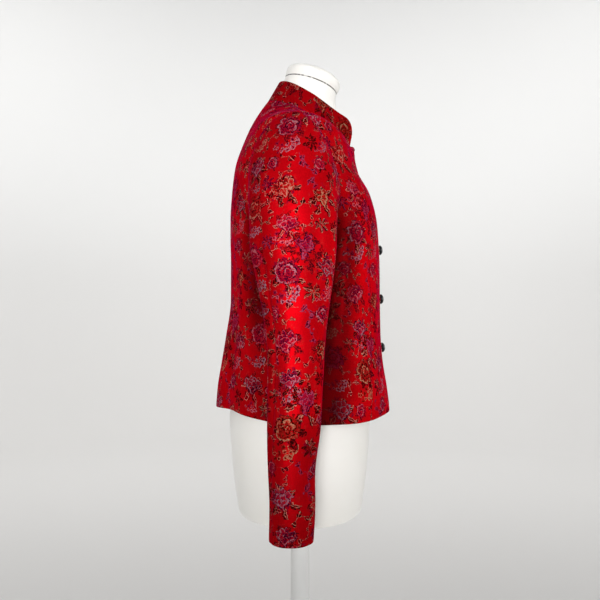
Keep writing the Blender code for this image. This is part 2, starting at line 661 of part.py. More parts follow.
def main():
    for obj in list(bpy.data.objects):
        bpy.data.objects.remove(obj)
    jacket = bpy.data.collections.new("tang_jacket")
    bpy.context.scene.collection.children.link(jacket)
    brocade = material("brocade", (0.55, 0.004, 0.010), 0.42)
    black = material("button_black", (0.008, 0.007, 0.008), 0.25)
    cover = material("form_cover", (0.86, 0.85, 0.80), 0.75)
    metal = material("stand_metal", (0.75, 0.75, 0.74), 0.35, 0.6)

    body_panels(jacket, brocade)
    sleeve("sleeve_left", 1, jacket, brocade)
    sleeve("sleeve_right", -1, jacket, brocade)
    collar(jacket, brocade)
    for number, level in enumerate(BUTTON_LEVELS, start=1):
        button(number, level, jacket, black)
    dress_form(jacket, cover, metal)


main()
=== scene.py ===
"""A tang jacket of floral brocade, buttoned on a limbless dress form that stands on a pole and a round base.

Metres, +Z up, the floor at z = 0. The jacket faces -Y, and the wearer's left is at +X.
The body of the jacket is one surface, point(angle, level): angle turns round the body from the centre front
towards the wearer's left, and level is the distance up from the hem along the side seam, the armhole's chord
and the shoulder seam. Every piece of cloth is a grid of points worked out as whole arrays, with a wall, and
carries its own flat cloth coordinates in metres, on which the weave and the floral repeat are laid out.
"""

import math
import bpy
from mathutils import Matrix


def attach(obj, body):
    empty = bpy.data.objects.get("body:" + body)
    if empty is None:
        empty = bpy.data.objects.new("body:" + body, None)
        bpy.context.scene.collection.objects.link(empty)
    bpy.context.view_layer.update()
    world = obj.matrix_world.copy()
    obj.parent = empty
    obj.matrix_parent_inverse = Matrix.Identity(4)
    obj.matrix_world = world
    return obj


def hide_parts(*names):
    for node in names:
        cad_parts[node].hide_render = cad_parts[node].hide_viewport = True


bl_info = {
    "name": "Tang Jacket on Dress Form",
    "version": (1, 0, 0),
    "blender": (4, 5, 0),
    "location": "View3D > Sidebar > Tang Jacket",
    "description": "Makes a brocade tang jacket with its dress form, stand and studio",
    "category": "Add Mesh",
}

import bpy
import numpy as np
from mathutils import Vector

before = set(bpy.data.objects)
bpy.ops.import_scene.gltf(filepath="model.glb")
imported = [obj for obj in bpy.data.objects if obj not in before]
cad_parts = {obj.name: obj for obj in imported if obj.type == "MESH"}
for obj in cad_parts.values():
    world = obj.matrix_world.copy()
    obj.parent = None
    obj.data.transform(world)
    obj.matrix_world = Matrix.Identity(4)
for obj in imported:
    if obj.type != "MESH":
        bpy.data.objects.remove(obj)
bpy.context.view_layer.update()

# ---------------------------------------------------------------- named sizes of the cut
HEM_HEIGHT = 0.80
EDGE_LINES = np.array((0.0006, 0.0014, 0.0026))
EDGE_DIP = 0.4
LINE_DISTANCE = 0.004
END_MARGIN = 1e-3
ARMHOLE_LENGTH = 0.225
CENTRE_FRONT_WIDTH, SIDE_FRONT_WIDTH, BACK_WIDTH = 0.14, 0.12, 0.53
SEAM_GAP = 0.0002
SHOULDER_GAP = 0.0004
FRONT_OVERLAP = 0.012
OVERLAP_FADE = 0.010
LAYER_GAP = 0.0008

COLLAR_END = 0.022
COLLAR_CORNER = 0.027
COLLAR_BASE_GAP = 0.0005
COLLAR_INSET = 0.0003
COLLAR_BUNCH = 0.12

BUTTON_LEVELS = (0.0975, 0.1820, 0.2670)
BUTTON_GAP = 0.0004
BUTTON_EDGE = 0.0006
BUTTONHOLE_START = 0.003
SILK_LIFT = 0.0003
SILK_TURNS, SILK_RIDGE = 48, 0.16

SHOULDER_LEVEL = 0.458
UNDERARM_LEVEL = 0.285
NECK_LEVEL = 0.588
ARMHOLE_FRONT_DEG = 20.1
ARMHOLE_BACK_DEG = 26.9
ARMHOLE_FRONT_LOW = 0.28
ARMHOLE_MIDDLE = (SHOULDER_LEVEL + UNDERARM_LEVEL) / 2
ARMHOLE_HALF = (SHOULDER_LEVEL - UNDERARM_LEVEL) / 2
SHOULDER_GAP_FROM = SHOULDER_LEVEL - 0.02
RIDGE_POWER = 24

SLEEVE_SEAM_GAP = 0.0004
SLEEVE_TUBE_TOP = 0.2556
SLEEVE_WIDTH, CAP_LENGTH, TUBE_LENGTH = 0.36, 0.20, 0.42
CAP_SHORTEST, TUBE_SHORTEST = 0.15, 0.415
CAP_SWING, CAP_DROP = 0.15, 0.32
CAP_LEAVE = (0.016, 0.085)
CAP_ARRIVE = (0.030, 0.230)
CREASE_SHIFT_DEG = 14.0

FORM_CLEARANCE = 0.0025
FORM_TIP_CLEARANCE = 0.0085
FORM_TIP_LEVEL = 0.42
FORM_TIP_SPREAD = 0.05
FORM_BOTTOM = -0.170
FORM_BLEND = (0.330, 0.400)
NECK_LEAVE = (0.045, 0.030)
NECK_ARRIVE = 1.2
SEAT_GAP = 0.0003

# How much painted shade darkens the cloth: by the sleeves it fades out between these levels at the armhole;
# then its amount on the sleeve's back and towards the cuff, and how much darker the whole collar is made.
SHADE_FADE_LEVELS = (0.37, 0.27)
SLEEVE_BACK_SHADE, CUFF_SHADE, COLLAR_DARKER = 0.35, 0.28, 0.35
# How many points each piece has round it, and how many rows or columns.
FORM_AROUND, FORM_ROWS, NECK_ROWS, CAP_ROWS = 144, 170, 25, 12
COLLAR_COLUMNS, BUTTON_AROUND, SILK_AROUND = 161, 40, 288
POLE_AROUND, BASE_AROUND, PAPER_AROUND = 64, 160, 96
# The brocade's fine distances: its rib, its puckers, and the hem's stitches and how far up they lie.
RIB_PITCH, PUCKER_PITCH, STITCH_PITCH, STITCHED_AT = 0.0011, 0.010, 0.008, 0.027

# ---------------------------------------------------------------- cross-sections
# Each row is one ring. Reaches run forward (front) or backward (back) of the pole's axis, and rises are above
# the hem. A square of 2 is an ellipse and more is boxier. A fall lowers the ring between its centre and side.
RING_COLUMNS = (
    "level", "half_width", "side_reach", "side_rise", "front_reach", "front_rise",
    "back_reach", "back_rise", "front_square", "back_square", "front_fall", "back_fall", "rise_power",
)


def level_ring(level, half_width, front, back, front_square, back_square, fall=0.0, side=0.0):
    """The row of a ring that stays at its level all round, but for one fall for the front and the back."""
    reaches = (side, level, front, level, back, level)
    return (level, half_width, *reaches, front_square, back_square, fall, fall, 2.0)


JACKET_RINGS = (
    (0.000, 0.190, 0.004, -0.0033, 0.1520, 0.0000, 0.1450, 0.0005, 2.20, 1.75, 0.0030, -0.0070, 2.0),
    (0.033, 0.187, 0.004, 0.0315, 0.1475, 0.0330, 0.1420, 0.0330, 2.25, 1.82, 0.0015, -0.0040, 2.0),
    (0.076, 0.182, 0.003, 0.0755, 0.1405, 0.0760, 0.1345, 0.0760, 2.30, 1.92, 0.0, -0.0015, 2.0),
    level_ring(0.118, 0.176, 0.1370, 0.1270, 2.35, 2.05, 0.0, 0.002),
    level_ring(0.181, 0.169, 0.1358, 0.1185, 2.35, 2.20, 0.0, 0.001),
    level_ring(0.240, 0.168, 0.1352, 0.1183, 2.35, 2.30),
    level_ring(0.285, 0.170, 0.1330, 0.1190, 2.38, 2.35),
    level_ring(0.314, 0.172, 0.1305, 0.1190, 2.40, 2.35),
    level_ring(0.355, 0.177, 0.1203, 0.1165, 2.38, 2.35, 0.002, -0.002),
    (0.400, 0.180, -0.004, 0.4000, 0.0985, 0.3986, 0.1105, 0.4046, 2.32, 2.35, 0.007, 0.005, 2.0),
    (0.458, 0.172, -0.005, 0.4560, 0.0925, 0.4256, 0.0848, 0.4806, 2.15, 2.30, 0.013, 0.015, 1.9),
    (0.523, 0.126, 0.000, 0.4751, 0.0920, 0.4361, 0.0708, 0.5036, 1.95, 2.15, 0.010, 0.008, 1.5),
    (0.588, 0.066, 0.013, 0.4906, 0.0935, 0.4426, 0.0570, 0.5226, 1.60, 2.05, 0.002, 0.0, 1.0),
)
# The shoulder seam is a ridge: at the very side the surface runs out to these places instead.
RIDGE_COLUMNS = ("level", "half_width", "side_rise")
SHOULDER_RIDGE = (
    (0.314, 0.172, 0.3140), (0.355, 0.177, 0.3550), (0.400, 0.183, 0.4000),
    (0.458, 0.190, 0.4580), (0.523, 0.128, 0.4755), (0.588, 0.066, 0.4906),
)
FORM_RINGS = (
    level_ring(-0.170, 0.148, 0.1060, 0.1060, 2.2, 2.2),
    level_ring(-0.095, 0.162, 0.1150, 0.1160, 2.2, 2.1),
    level_ring(-0.020, 0.166, 0.1190, 0.1210, 2.2, 2.0),
    level_ring(0.070, 0.148, 0.1080, 0.1080, 2.2, 2.0),
    level_ring(0.155, 0.124, 0.0950, 0.0880, 2.2, 2.1),
    level_ring(0.235, 0.136, 0.1110, 0.0970, 2.2, 2.2),
    level_ring(0.300, 0.148, 0.1240, 0.1100, 2.25, 2.3),
    level_ring(0.355, 0.156, 0.1130, 0.1105, 2.3, 2.3, 0.002),
)
# The neck and its cap are tilted ovals: distance up the neck from the seam between them, and half sizes.
NECK_SEAM_FORWARD = 0.0185
NECK_SEAM_RISE = 0.5531
NECK_TILT_DEG = 17.5
CAP_COLUMNS = ("up", "half_across", "half_along", "forward")
CAP_RINGS = (
    (0.0000, 0.0490, 0.0465, 0.0000), (0.0080, 0.0510, 0.0485, 0.0008), (0.0150, 0.0505, 0.0478, 0.0008),
    (0.0200, 0.0465, 0.0440, 0.0004), (0.0230, 0.0400, 0.0375, 0.0000), (0.0245, 0.0200, 0.0185, 0.0000),
)
COLLAR_TOP_RING = (
    0.0, 0.058, 0.0226, 0.5225, 0.1005, 0.4836, 0.0375, 0.5560, 1.80, 2.05, 0.001, -0.0015, 1.0
)
CAP_RIM = (0.0165, 0.0180, 0.0194, 0.0206, 0.0216, 0.0225, 0.0233, 0.0240, 0.0245)
# Where the front princess seam runs: up the front, then across to the armhole.
PRINCESS_COLUMNS = ("level", "degrees")
PRINCESS_SEAM = (
    (0.0000, 53.0), (0.0600, 48.5), (0.1200, 45.0), (0.1800, 43.5), (0.2400, 45.0),
    (0.2700, 48.0), (0.2850, 51.0), (0.2966, 54.5), (0.3103, 60.5), (0.3283, 69.5),
)
PRINCESS_TOP = PRINCESS_SEAM[-1][0]
# The sleeve's tube below the armhole: rise above the hem, centre and half sizes across and front to back.
SLEEVE_COLUMNS = ("rise", "centre_across", "centre_forward", "half_across", "half_forward")
SLEEVE_RINGS = (
    (0.2556, 0.2110, -0.0100, 0.0365, 0.0620),
    (0.2150, 0.2110, -0.0078, 0.0360, 0.0560),
    (0.1500, 0.2120, -0.0055, 0.0350, 0.0460),
    (0.1100, 0.2150, -0.0055, 0.0340, 0.0420),
    (0.0530, 0.2205, -0.0070, 0.0330, 0.0390),
    (0.0000, 0.2265, -0.0085, 0.0325, 0.0375),
    (-0.0650, 0.2270, -0.0120, 0.0318, 0.0335),
    (-0.1100, 0.2268, -0.0113, 0.0312, 0.0327),
    (-0.1598, 0.2262, -0.0125, 0.0308, 0.0312),
)
# The skirt's soft folds: where each stands and how wide it is in degrees, how far out it is, and its top.
SKIRT_FOLDS = (
    (-158.0, 9.0, 0.0035, 0.26), (-139.0, 8.0, -0.0030, 0.20), (-121.0, 9.0, 0.0030, 0.24),
    (-62.0, 8.0, 0.0022, 0.20), (-42.0, 9.0, -0.0022, 0.17), (-24.0, 8.0, 0.0020, 0.14),
    (27.0, 9.0, 0.0018, 0.16), (45.0, 8.0, -0.0024, 0.20), (64.0, 9.0, 0.0024, 0.17),
    (119.0, 9.0, 0.0026, 0.22), (136.0, 8.0, -0.0032, 0.26), (156.0, 10.0, 0.0036, 0.21),
)
# The body's finer drape, and then the sleeve's soft folds. Each row is a hollow (height below 0) or a swell:
# how far above the hem its middle is, at how many degrees round the piece, how far out it stands, half its
# length in metres, half its width in degrees, and how many degrees it leans for each metre up.
DRAPE = (
    (0.240, -117.0, -0.0060, 0.080, 4.5, -95.0),
    (0.220, -127.0, 0.0022, 0.140, 6.0, 40.0),
    (0.120, -137.0, -0.0024, 0.100, 5.0, 20.0),
    (0.200, -71.0, -0.0120, 0.110, 4.0, 40.0),
    (0.370, -60.0, -0.0024, 0.060, 5.0, -260.0),
    (0.170, -47.0, -0.0016, 0.110, 7.0, 60.0),
    (0.230, 118.0, -0.0150, 0.080, 4.0, 90.0),
    (0.230, 130.0, 0.0020, 0.120, 6.0, -30.0),
    (0.200, 71.0, -0.0100, 0.100, 4.5, -40.0),
    (0.160, 52.0, -0.0018, 0.100, 7.0, -50.0),
    (0.250, 168.0, -0.0016, 0.120, 8.0, 20.0),
)
SLEEVE_CREASES = (
    (0.335, 205.0, -0.0030, 0.060, 26.0, 220.0),
    (0.300, 145.0, -0.0030, 0.050, 24.0, -240.0),
    (0.190, 285.0, -0.0034, 0.110, 20.0, 0.0),
    (0.130, 290.0, -0.0054, 0.210, 8.0, 30.0),
    (0.060, 325.0, 0.0016, 0.200, 13.0, 20.0),
    (0.330, 330.0, -0.0018, 0.070, 8.0, -60.0),
    (0.280, 20.0, -0.0022, 0.120, 9.0, 40.0),
    (0.020, 35.0, -0.0020, 0.160, 10.0, -20.0),
    (0.120, 60.0, -0.0026, 0.070, 24.0, 160.0),
    (0.060, 300.0, -0.0026, 0.080, 22.0, -60.0),
    (-0.040, 100.0, -0.0020, 0.060, 26.0, 90.0),
    (-0.090, 250.0, -0.0018, 0.050, 24.0, -80.0),
)
# The studio's sweep of paper, and each lamp's name, place, aim, width, power in watts and beam in degrees.
COVE_FROM, COVE_ROUND, WALL_HEIGHT, PAPER_DROP = 3.6, 1.2, 4.5, 0.0002
LAMPS = (
    ("soft_key", (-2.3, 0.20, 1.1), (0, 0, 1.15), 0.7, 3.35, 40),
    ("soft_fill", (-2.2, -1.9, 1.3), (0, 0, 1.15), 1.2, 1.35, 50),
    ("soft_rim", (0.9, -2.4, 1.3), (0, 0, 1.15), 1.2, 2.7, 56),
    ("soft_top", (-0.6, 0.6, 2.9), (0, 0, 1.2), 1.2, 2),
    ("backdrop_wash_left", (1.9, 1.5, 3.2), (4.3, 1.8, 1.5), 2.0, 48),
    ("backdrop_wash_right", (1.9, -1.5, 3.2), (4.3, -1.8, 1.5), 2.0, 48),
    ("backdrop_wash_behind", (-2.2, 0, 3.6), (-4.6, 0, 1.0), 2.4, 30),
    ("backdrop_wash_before", (0, -2.2, 3.6), (0, -4.6, 1.0), 2.4, 30),
    ("backdrop_wash_beyond", (0, 2.2, 3.6), (0, 4.6, 1.0), 2.4, 30),
)
WORLD_STRENGTH = 0.25
CAMERA_PLACE, CAMERA_TURN_DEG = (-1.2, 0.0, 0.9806), (90, 0, -90)
SENSOR_WIDTH_MM, LENS_MM = 36.0, 41.28


# ---------------------------------------------------------------- curves through tables
def vectors(*parts):
    """Vectors from their parts, each of them an array or one number."""
    return np.stack(np.broadcast_arrays(*parts), axis=-1)


def outwards(angle):
    """The level direction away from the pole at this angle, (sin, -cos, 0)."""
    return vectors(np.sin(angle), -np.cos(angle), 0.0)


def hermite(t, start, leave, end, arrive):
    """The cubic from start (t = 0), left along one vector, to end (t = 1), reached along another."""
    first = (1 + 2 * t) * (1 - t) ** 2 * start + t * (1 - t) ** 2 * leave
    return first + t**2 * (3 - 2 * t) * end + t**2 * (t - 1) * arrive


def smooth_curve(places, values, corner=None):
    """Cubics through the values whose slopes are weighted harmonic means of the neighbouring chords, so the
    curve never overshoots; at the corner it may turn sharply."""
    step = np.diff(places)
    rise = np.diff(values) / step
    slope = np.zeros(len(places))
    slope[0], slope[-1] = rise[0], rise[-1]
    same_way = rise[:-1] * rise[1:] > 0
    before = 2 * step[1:] + step[:-1]
    after = step[1:] + 2 * step[:-1]
    low, high = (np.where(same_way, part, 1.0) for part in (rise[:-1], rise[1:]))
    slope[1:-1] = np.where(same_way, (before + after) / (before / low + after / high), 0.0)
    slope_in, slope_out = slope.copy(), slope.copy()
    if corner is not None:
        at = int(np.argmin(abs(places - corner)))
        slope_in[at], slope_out[at] = rise[at - 1], rise[at]

    def curve(where):
        where = np.clip(np.asarray(where, float), places[0], places[-1])
        k = np.clip(np.searchsorted(places, where, side="right") - 1, 0, len(step) - 1)
        t = (where - places[k]) / step[k]
        return hermite(t, values[k], step[k] * slope_out[k], values[k + 1], step[k] * slope_in[k + 1])

    return curve


def table_curves(rows, columns, corner=None):
    """One smooth curve for each column after the first, by name, against the first column."""
    places, *values = np.array(sorted(rows)).T
    return {name: smooth_curve(places, column, corner) for name, column in zip(columns[1:], values)}


def ring_values(curves, level):
    """The curves' values at these levels, by column name."""
    return {name: curve(level) for name, curve in curves.items()}


def smooth_share(value, low, high):
    """0 below low, 1 above high, and 3t^2 - 2t^3 between them."""
    t = np.clip((value - low) / (high - low), 0, 1)
    return t * t * (3 - 2 * t)


def bell(distance, width):
    """exp(-(distance / width)^2)."""
    return np.exp(-((distance / width) ** 2))


# ---------------------------------------------------------------- the jacket's body
def ring_point(ring, angle):
    """A superellipse in plan, (|sin a| / half width)^n + (|cos a| / depth)^n = r^-n, whose height goes from
    the side's rise to the front's or back's with |cos a| to a power, less fall * sin(2a)^2."""
    ahead = np.cos(angle) >= 0
    square = np.where(ahead, ring["front_square"], ring["back_square"])
    fall = np.where(ahead, ring["front_fall"], ring["back_fall"])
    end_rise = np.where(ahead, ring["front_rise"], ring["back_rise"])
    side, side_rise = ring["side_reach"], ring["side_rise"]
    depth = np.where(ahead, ring["front_reach"] - side, ring["back_reach"] + side)
    sin, cos = np.sin(angle), np.cos(angle)
    radius = (abs(sin / ring["half_width"]) ** square + abs(cos / depth) ** square) ** (-1 / square)
    rise = side_rise + (end_rise - side_rise) * abs(cos) ** ring["rise_power"] - fall * np.sin(2 * angle) ** 2
    return vectors(radius * sin, -side - radius * cos, HEM_HEIGHT + rise)


JACKET = table_curves(JACKET_RINGS, RING_COLUMNS)
RIDGE = table_curves(SHOULDER_RIDGE, RIDGE_COLUMNS, SHOULDER_LEVEL)
FORM = table_curves(FORM_RINGS, RING_COLUMNS)
PRINCESS = table_curves(PRINCESS_SEAM, PRINCESS_COLUMNS)["degrees"]
SLEEVE_TUBE = table_curves(SLEEVE_RINGS, SLEEVE_COLUMNS)


def leaning_bells(rows, degrees, rise, shift=0.0, wraps=False):
    """The sum of a table's folds, height * exp(-(up / half length)^2 - (round / half turn)^2), where round is
    counted from a middle that leans, and is the shorter way round if it wraps."""
    out = np.zeros(np.broadcast(degrees, rise).shape)
    for middle, at, height, half_length, half_turn, slant in rows:
        apart = degrees - (at + slant * (rise - middle) + shift)
        if wraps:
            apart = (apart + 180) % 360 - 180
        out += height * np.exp(-(((rise - middle) / half_length) ** 2) - (apart / half_turn) ** 2)
    return out


def body_folds(angle, level):
    """How far the body's soft folds stand out: its drape, and bells that fade up the skirt."""
    degrees = np.degrees((angle + math.pi) % (2 * math.pi) - math.pi)
    out = leaning_bells(DRAPE, degrees, level)
    for at, width, height, top in SKIRT_FOLDS:
        out += height * np.clip(1 - level / top, 0, 1) ** 1.5 * bell(degrees - at, width)
    return out


def plain_point(angle, level):
    """The jacket's outer surface without its folds: rounded, but for the ridge along the shoulder seam, whose
    sizes are mixed in by |sin(angle)| to a high power."""
    ring = ring_values(JACKET, level)
    near_seam = np.where(level > SHOULDER_RIDGE[0][0], abs(np.sin(angle)) ** RIDGE_POWER, 0.0)
    for name in RIDGE_COLUMNS[1:]:
        ring[name] = ring[name] * (1 - near_seam) + RIDGE[name](level) * near_seam
    return ring_point(ring, angle)


def body_point(angle, level):
    """The jacket's outer surface: the plain one moved out by its soft folds."""
    return plain_point(angle, level) + outwards(angle) * body_folds(angle, level)[..., None]


def normal_of(surface, a, b, step=1e-4):
    """The outward unit normal of surface(a, b), from points a small step either side."""
    along_a = surface(a + step, b) - surface(a - step, b)
    along_b = surface(a, b + step) - surface(a, b - step)
    normal = np.cross(along_a, along_b)
    return normal / np.linalg.norm(normal, axis=-1, keepdims=True)


def armhole(turn):
    """The armhole on the wearer's left: level = middle + half * cos(turn), and the angle swings from the side
    by a sine, further at the low front."""
    front_swing = ARMHOLE_FRONT_DEG * (1 - ARMHOLE_FRONT_LOW * np.cos(turn))
    swing = np.where(np.sin(turn) > 0, front_swing, ARMHOLE_BACK_DEG)
    return np.radians(90 - swing * np.sin(turn)), ARMHOLE_MIDDLE + ARMHOLE_HALF * np.cos(turn)


def panel_levels(step):
    """The rows of a body panel: close together at the hem, even up the skirt, even in turn along the armhole,
    and even again up the shoulder."""
    skirt = np.linspace(0, UNDERARM_LEVEL, round(UNDERARM_LEVEL / step) + 1)
    turns = math.pi - math.pi * np.linspace(0, 1, round(ARMHOLE_LENGTH / step) + 1)[1:]
    shoulder = np.linspace(SHOULDER_LEVEL, NECK_LEVEL, round((NECK_LEVEL - SHOULDER_LEVEL) / step) + 1)[1:]
    levels = [*skirt, *EDGE_LINES, *armhole(turns)[1], PRINCESS_TOP, *shoulder]
    return np.unique(np.round(levels, 6))


def armhole_at(level, front):
    """The armhole's angle on the wearer's left at these levels, in the front or the back."""
    turn = np.arccos(np.clip((level - ARMHOLE_MIDDLE) / ARMHOLE_HALF, -1, 1))
    return armhole(turn if front else -turn)[0]


def half_gap(edge, levels, gap):
    """Half the gap between two pieces as an angle, at these places on the body."""
    return gap / 2 / np.linalg.norm(body_point(edge, levels)[:, :2], axis=1)


def side_edge(levels, front):
    """The angle where a front, or the back, meets the side seam, the armhole or the shoulder seam, less half
    the gap that is left between the pieces."""
    in_armhole = (levels > UNDERARM_LEVEL) & (levels < SHOULDER_LEVEL)
    edge = np.where(in_armhole, armhole_at(levels, front), math.pi / 2)
    gap = half_gap(edge, levels, np.where(levels < SHOULDER_GAP_FROM, SEAM_GAP, SHOULDER_GAP))
    return edge - gap if front else edge + gap


def princess_edge(levels, side):
    """The angle of the princess seam, half the gap nearer the side (1) or the centre (-1)."""
    edge = np.radians(PRINCESS(levels))
    return edge + side * half_gap(edge, levels, SEAM_GAP)


def front_line(across, levels):
    """The angle, level by level, of an upright line on the front, this far to the left of the centre."""
    ring = ring_values(JACKET, levels)
    return np.arctan2(across, ring["front_reach"] - ring["side_reach"])


def overlap_lift(across, wall):
    """The right front rises over the left one by a smooth step near the centre line, and is level beyond."""
    return (wall + LAYER_GAP) * smooth_share(across, -FRONT_OVERLAP - OVERLAP_FADE, -FRONT_OVERLAP)


# ---------------------------------------------------------------- the sleeve
def tube_point(turn, rise):
    """The sleeve's tube: an ellipse round a centre line, both read from the sleeve's rings."""
    ring = ring_values(SLEEVE_TUBE, rise)
    across = ring["centre_across"] + ring["half_across"] * np.cos(turn)
    forward = ring["centre_forward"] + ring["half_forward"] * np.sin(turn)
    return vectors(across, -forward, HEM_HEIGHT + rise)


def sleeve_point(turn, down, side):
    """The middle of the sleeve's wall. Down runs from 0 at the armhole to 1 at the tube's top, along a cubic
    that leaves the armhole outwards and arrives straight down, and then to 2 at the cuff along the tube. The
    soft folds grow over the cap's first third, and stand a little aside on the wearer's right."""
    root = body_point(*armhole(turn))
    root[..., 0] += SLEEVE_SEAM_GAP
    top = tube_point(turn, np.full_like(turn, SLEEVE_TUBE_TOP))
    outer = (1 + np.cos(turn)) / 2
    leave = vectors(1.0, -CAP_SWING * np.sin(turn), -CAP_DROP * outer)
    leave = leave * (CAP_LEAVE[0] + CAP_LEAVE[1] * outer)[..., None]
    arrive = vectors(0.0, 0.0, -(CAP_ARRIVE[0] + CAP_ARRIVE[1] * outer))
    cap = hermite(np.clip(down, 0, 1)[..., None], root, leave, top, arrive)
    rise = SLEEVE_TUBE_TOP + (SLEEVE_RINGS[-1][0] - SLEEVE_TUBE_TOP) * np.clip(down - 1, 0, 1)
    point = np.where((down <= 1)[..., None], cap, tube_point(turn, rise))
    shift = CREASE_SHIFT_DEG if side < 0 else 0.0
    folds = leaning_bells(SLEEVE_CREASES, np.degrees(turn), point[..., 2] - HEM_HEIGHT, shift, wraps=True)
    away = vectors(np.cos(turn), -np.sin(turn), 0.0)
    point = point + away * (folds * np.clip(down * 3, 0, 1))[..., None]
    point[..., 0] *= side
    return point


# ---------------------------------------------------------------- the dress form
def oval(angle, up, half_across, half_along, forward):
    """A point of an oval round the neck's tilted axis, this far up it from the cap's seam."""
    tilt = math.radians(NECK_TILT_DEG)
    along = forward + half_along * np.cos(angle)
    ahead = NECK_SEAM_FORWARD + along * math.cos(tilt) + up * math.sin(tilt)
    rise = NECK_SEAM_RISE - along * math.sin(tilt) + up * math.cos(tilt)
    return vectors(half_across * np.sin(angle), -ahead, HEM_HEIGHT + rise)


def inset_point(angle, level):
    """The form under the cloth: the jacket's plain surface moved in, and further in by the armholes."""
    near_tip = bell(level - FORM_TIP_LEVEL, FORM_TIP_SPREAD) * abs(np.sin(angle)) ** 3
    depth = FORM_CLEARANCE + FORM_TIP_CLEARANCE * near_tip
    normal = normal_of(plain_point, angle, np.clip(level, 0, NECK_LEVEL - END_MARGIN))
    return plain_point(angle, level) - normal * depth[..., None]


def form_point(angle, level):
    """The form: its own rings up to the bust, and the jacket's surface moved in above."""
    own = ring_point(ring_values(FORM, level), angle)
    share = smooth_share(level, *FORM_BLEND)[..., None]
    return own * (1 - share) + inset_point(angle, level) * share


def neck_point(angle, share):
    """The neck: a cubic from the base of the neck, inwards and up, to the oval of the cap's seam."""
    base = inset_point(angle, np.full_like(angle, NECK_LEVEL))
    top, above = (oval(angle, up, *CAP_RINGS[0][1:]) for up in (0.0, 0.05))
    inwards, upwards = NECK_LEAVE
    leave = (0.0, 0.0, upwards) - inwards * outwards(angle)
    return hermite(share[..., None], base, leave, top, (above - top) * NECK_ARRIVE)


# ---------------------------------------------------------------- cloth coordinates
def along(points, axis):
    """Running length along one axis of a grid of points, 0 at its first line."""
    steps = np.linalg.norm(np.diff(points, axis=axis), axis=-1)
    return np.cumsum(np.insert(steps, 0, 0.0, axis=axis), axis=axis)


def bilinear(table, rows, columns):
    """The table's value between its rows and columns, in straight lines each way."""
    rows, columns = (np.clip(at, 0, count - 1.001) for at, count in zip((rows, columns), table.shape))
    r, c = rows.astype(int), columns.astype(int)
    s, t = rows - r, columns - c
    low = table[r, c] * (1 - t) + table[r, c + 1] * t
    high = table[r + 1, c] * (1 - t) + table[r + 1, c + 1] * t
    return low * (1 - s) + high * s


class BodyCloth:
    """The body's cloth laid flat: v is the length up from the hem at one angle, and u is the length round one
    level from the centre front, or from the centre back on the back, positive to the right from outside."""

    ROWS, COLUMNS = 240, 180

    def __init__(self):
        levels = np.linspace(0, NECK_LEVEL, self.ROWS + 1)
        points = plain_point(*np.meshgrid(np.linspace(0, math.pi, self.COLUMNS + 1), levels))
        self.up = along(points, 0)
        self.round_front = along(points, 1)
        self.round_back = self.round_front[:, -1:] - self.round_front

    def flat(self, angle, level, back=False):
        row = level / NECK_LEVEL * self.ROWS
        turn = (angle + math.pi) % (2 * math.pi) - math.pi
        column = abs(turn) / math.pi * self.COLUMNS
        round_it = self.round_back if back else self.round_front
        sign = np.where(angle > math.pi, 1, -1) if back else np.sign(turn)
        return vectors(bilinear(round_it, row, column) * sign, bilinear(self.up, row, column))


# ---------------------------------------------------------------- cloth meshes
def unit(vectors):
    return vectors / np.maximum(np.linalg.norm(vectors, axis=-1, keepdims=True), 1e-12)


def grid_normals(points, closed):
    """Unit normals of a grid: the cross product of its differences along the rows and up the columns."""
    if closed:
        along_row = np.roll(points, -1, axis=1) - np.roll(points, 1, axis=1)
    else:
        along_row = np.gradient(points, axis=1)
    return unit(np.cross(along_row, np.gradient(points, axis=0)))


def quads(rows, columns, inwards=False):
    """The corners of a grid's faces as (row, column) numbers, facing outwards or inwards."""
    r, c = np.meshgrid(np.arange(rows - 1), np.arange(columns - 1), indexing="ij")
    steps = ((0, 0), (1, 0), (1, 1), (0, 1)) if inwards else ((0, 0), (0, 1), (1, 1), (1, 0))
    corners = [vectors(r + dr, c + dc) for dr, dc in steps]
    return np.stack(corners, axis=2).reshape(-1, 4, 2)


def rim_loops(rows, columns, closed):
    """The edge of a grid as loops of (row, column) numbers that run anticlockwise seen from outside."""
    across, up = np.arange(columns), np.arange(rows)
    bottom, top = vectors(0, across), vectors(rows - 1, across)[::-1]
    if closed:
        return [bottom, top]
    right, left = vectors(up, columns - 1), vectors(up, 0)[::-1]
    return [np.concatenate([bottom[:-1], right[:-1], top[:-1], left])]


OUTSIDE, INSIDE, RIM = 0, 1, 2
RIM_BULGE = 0.35


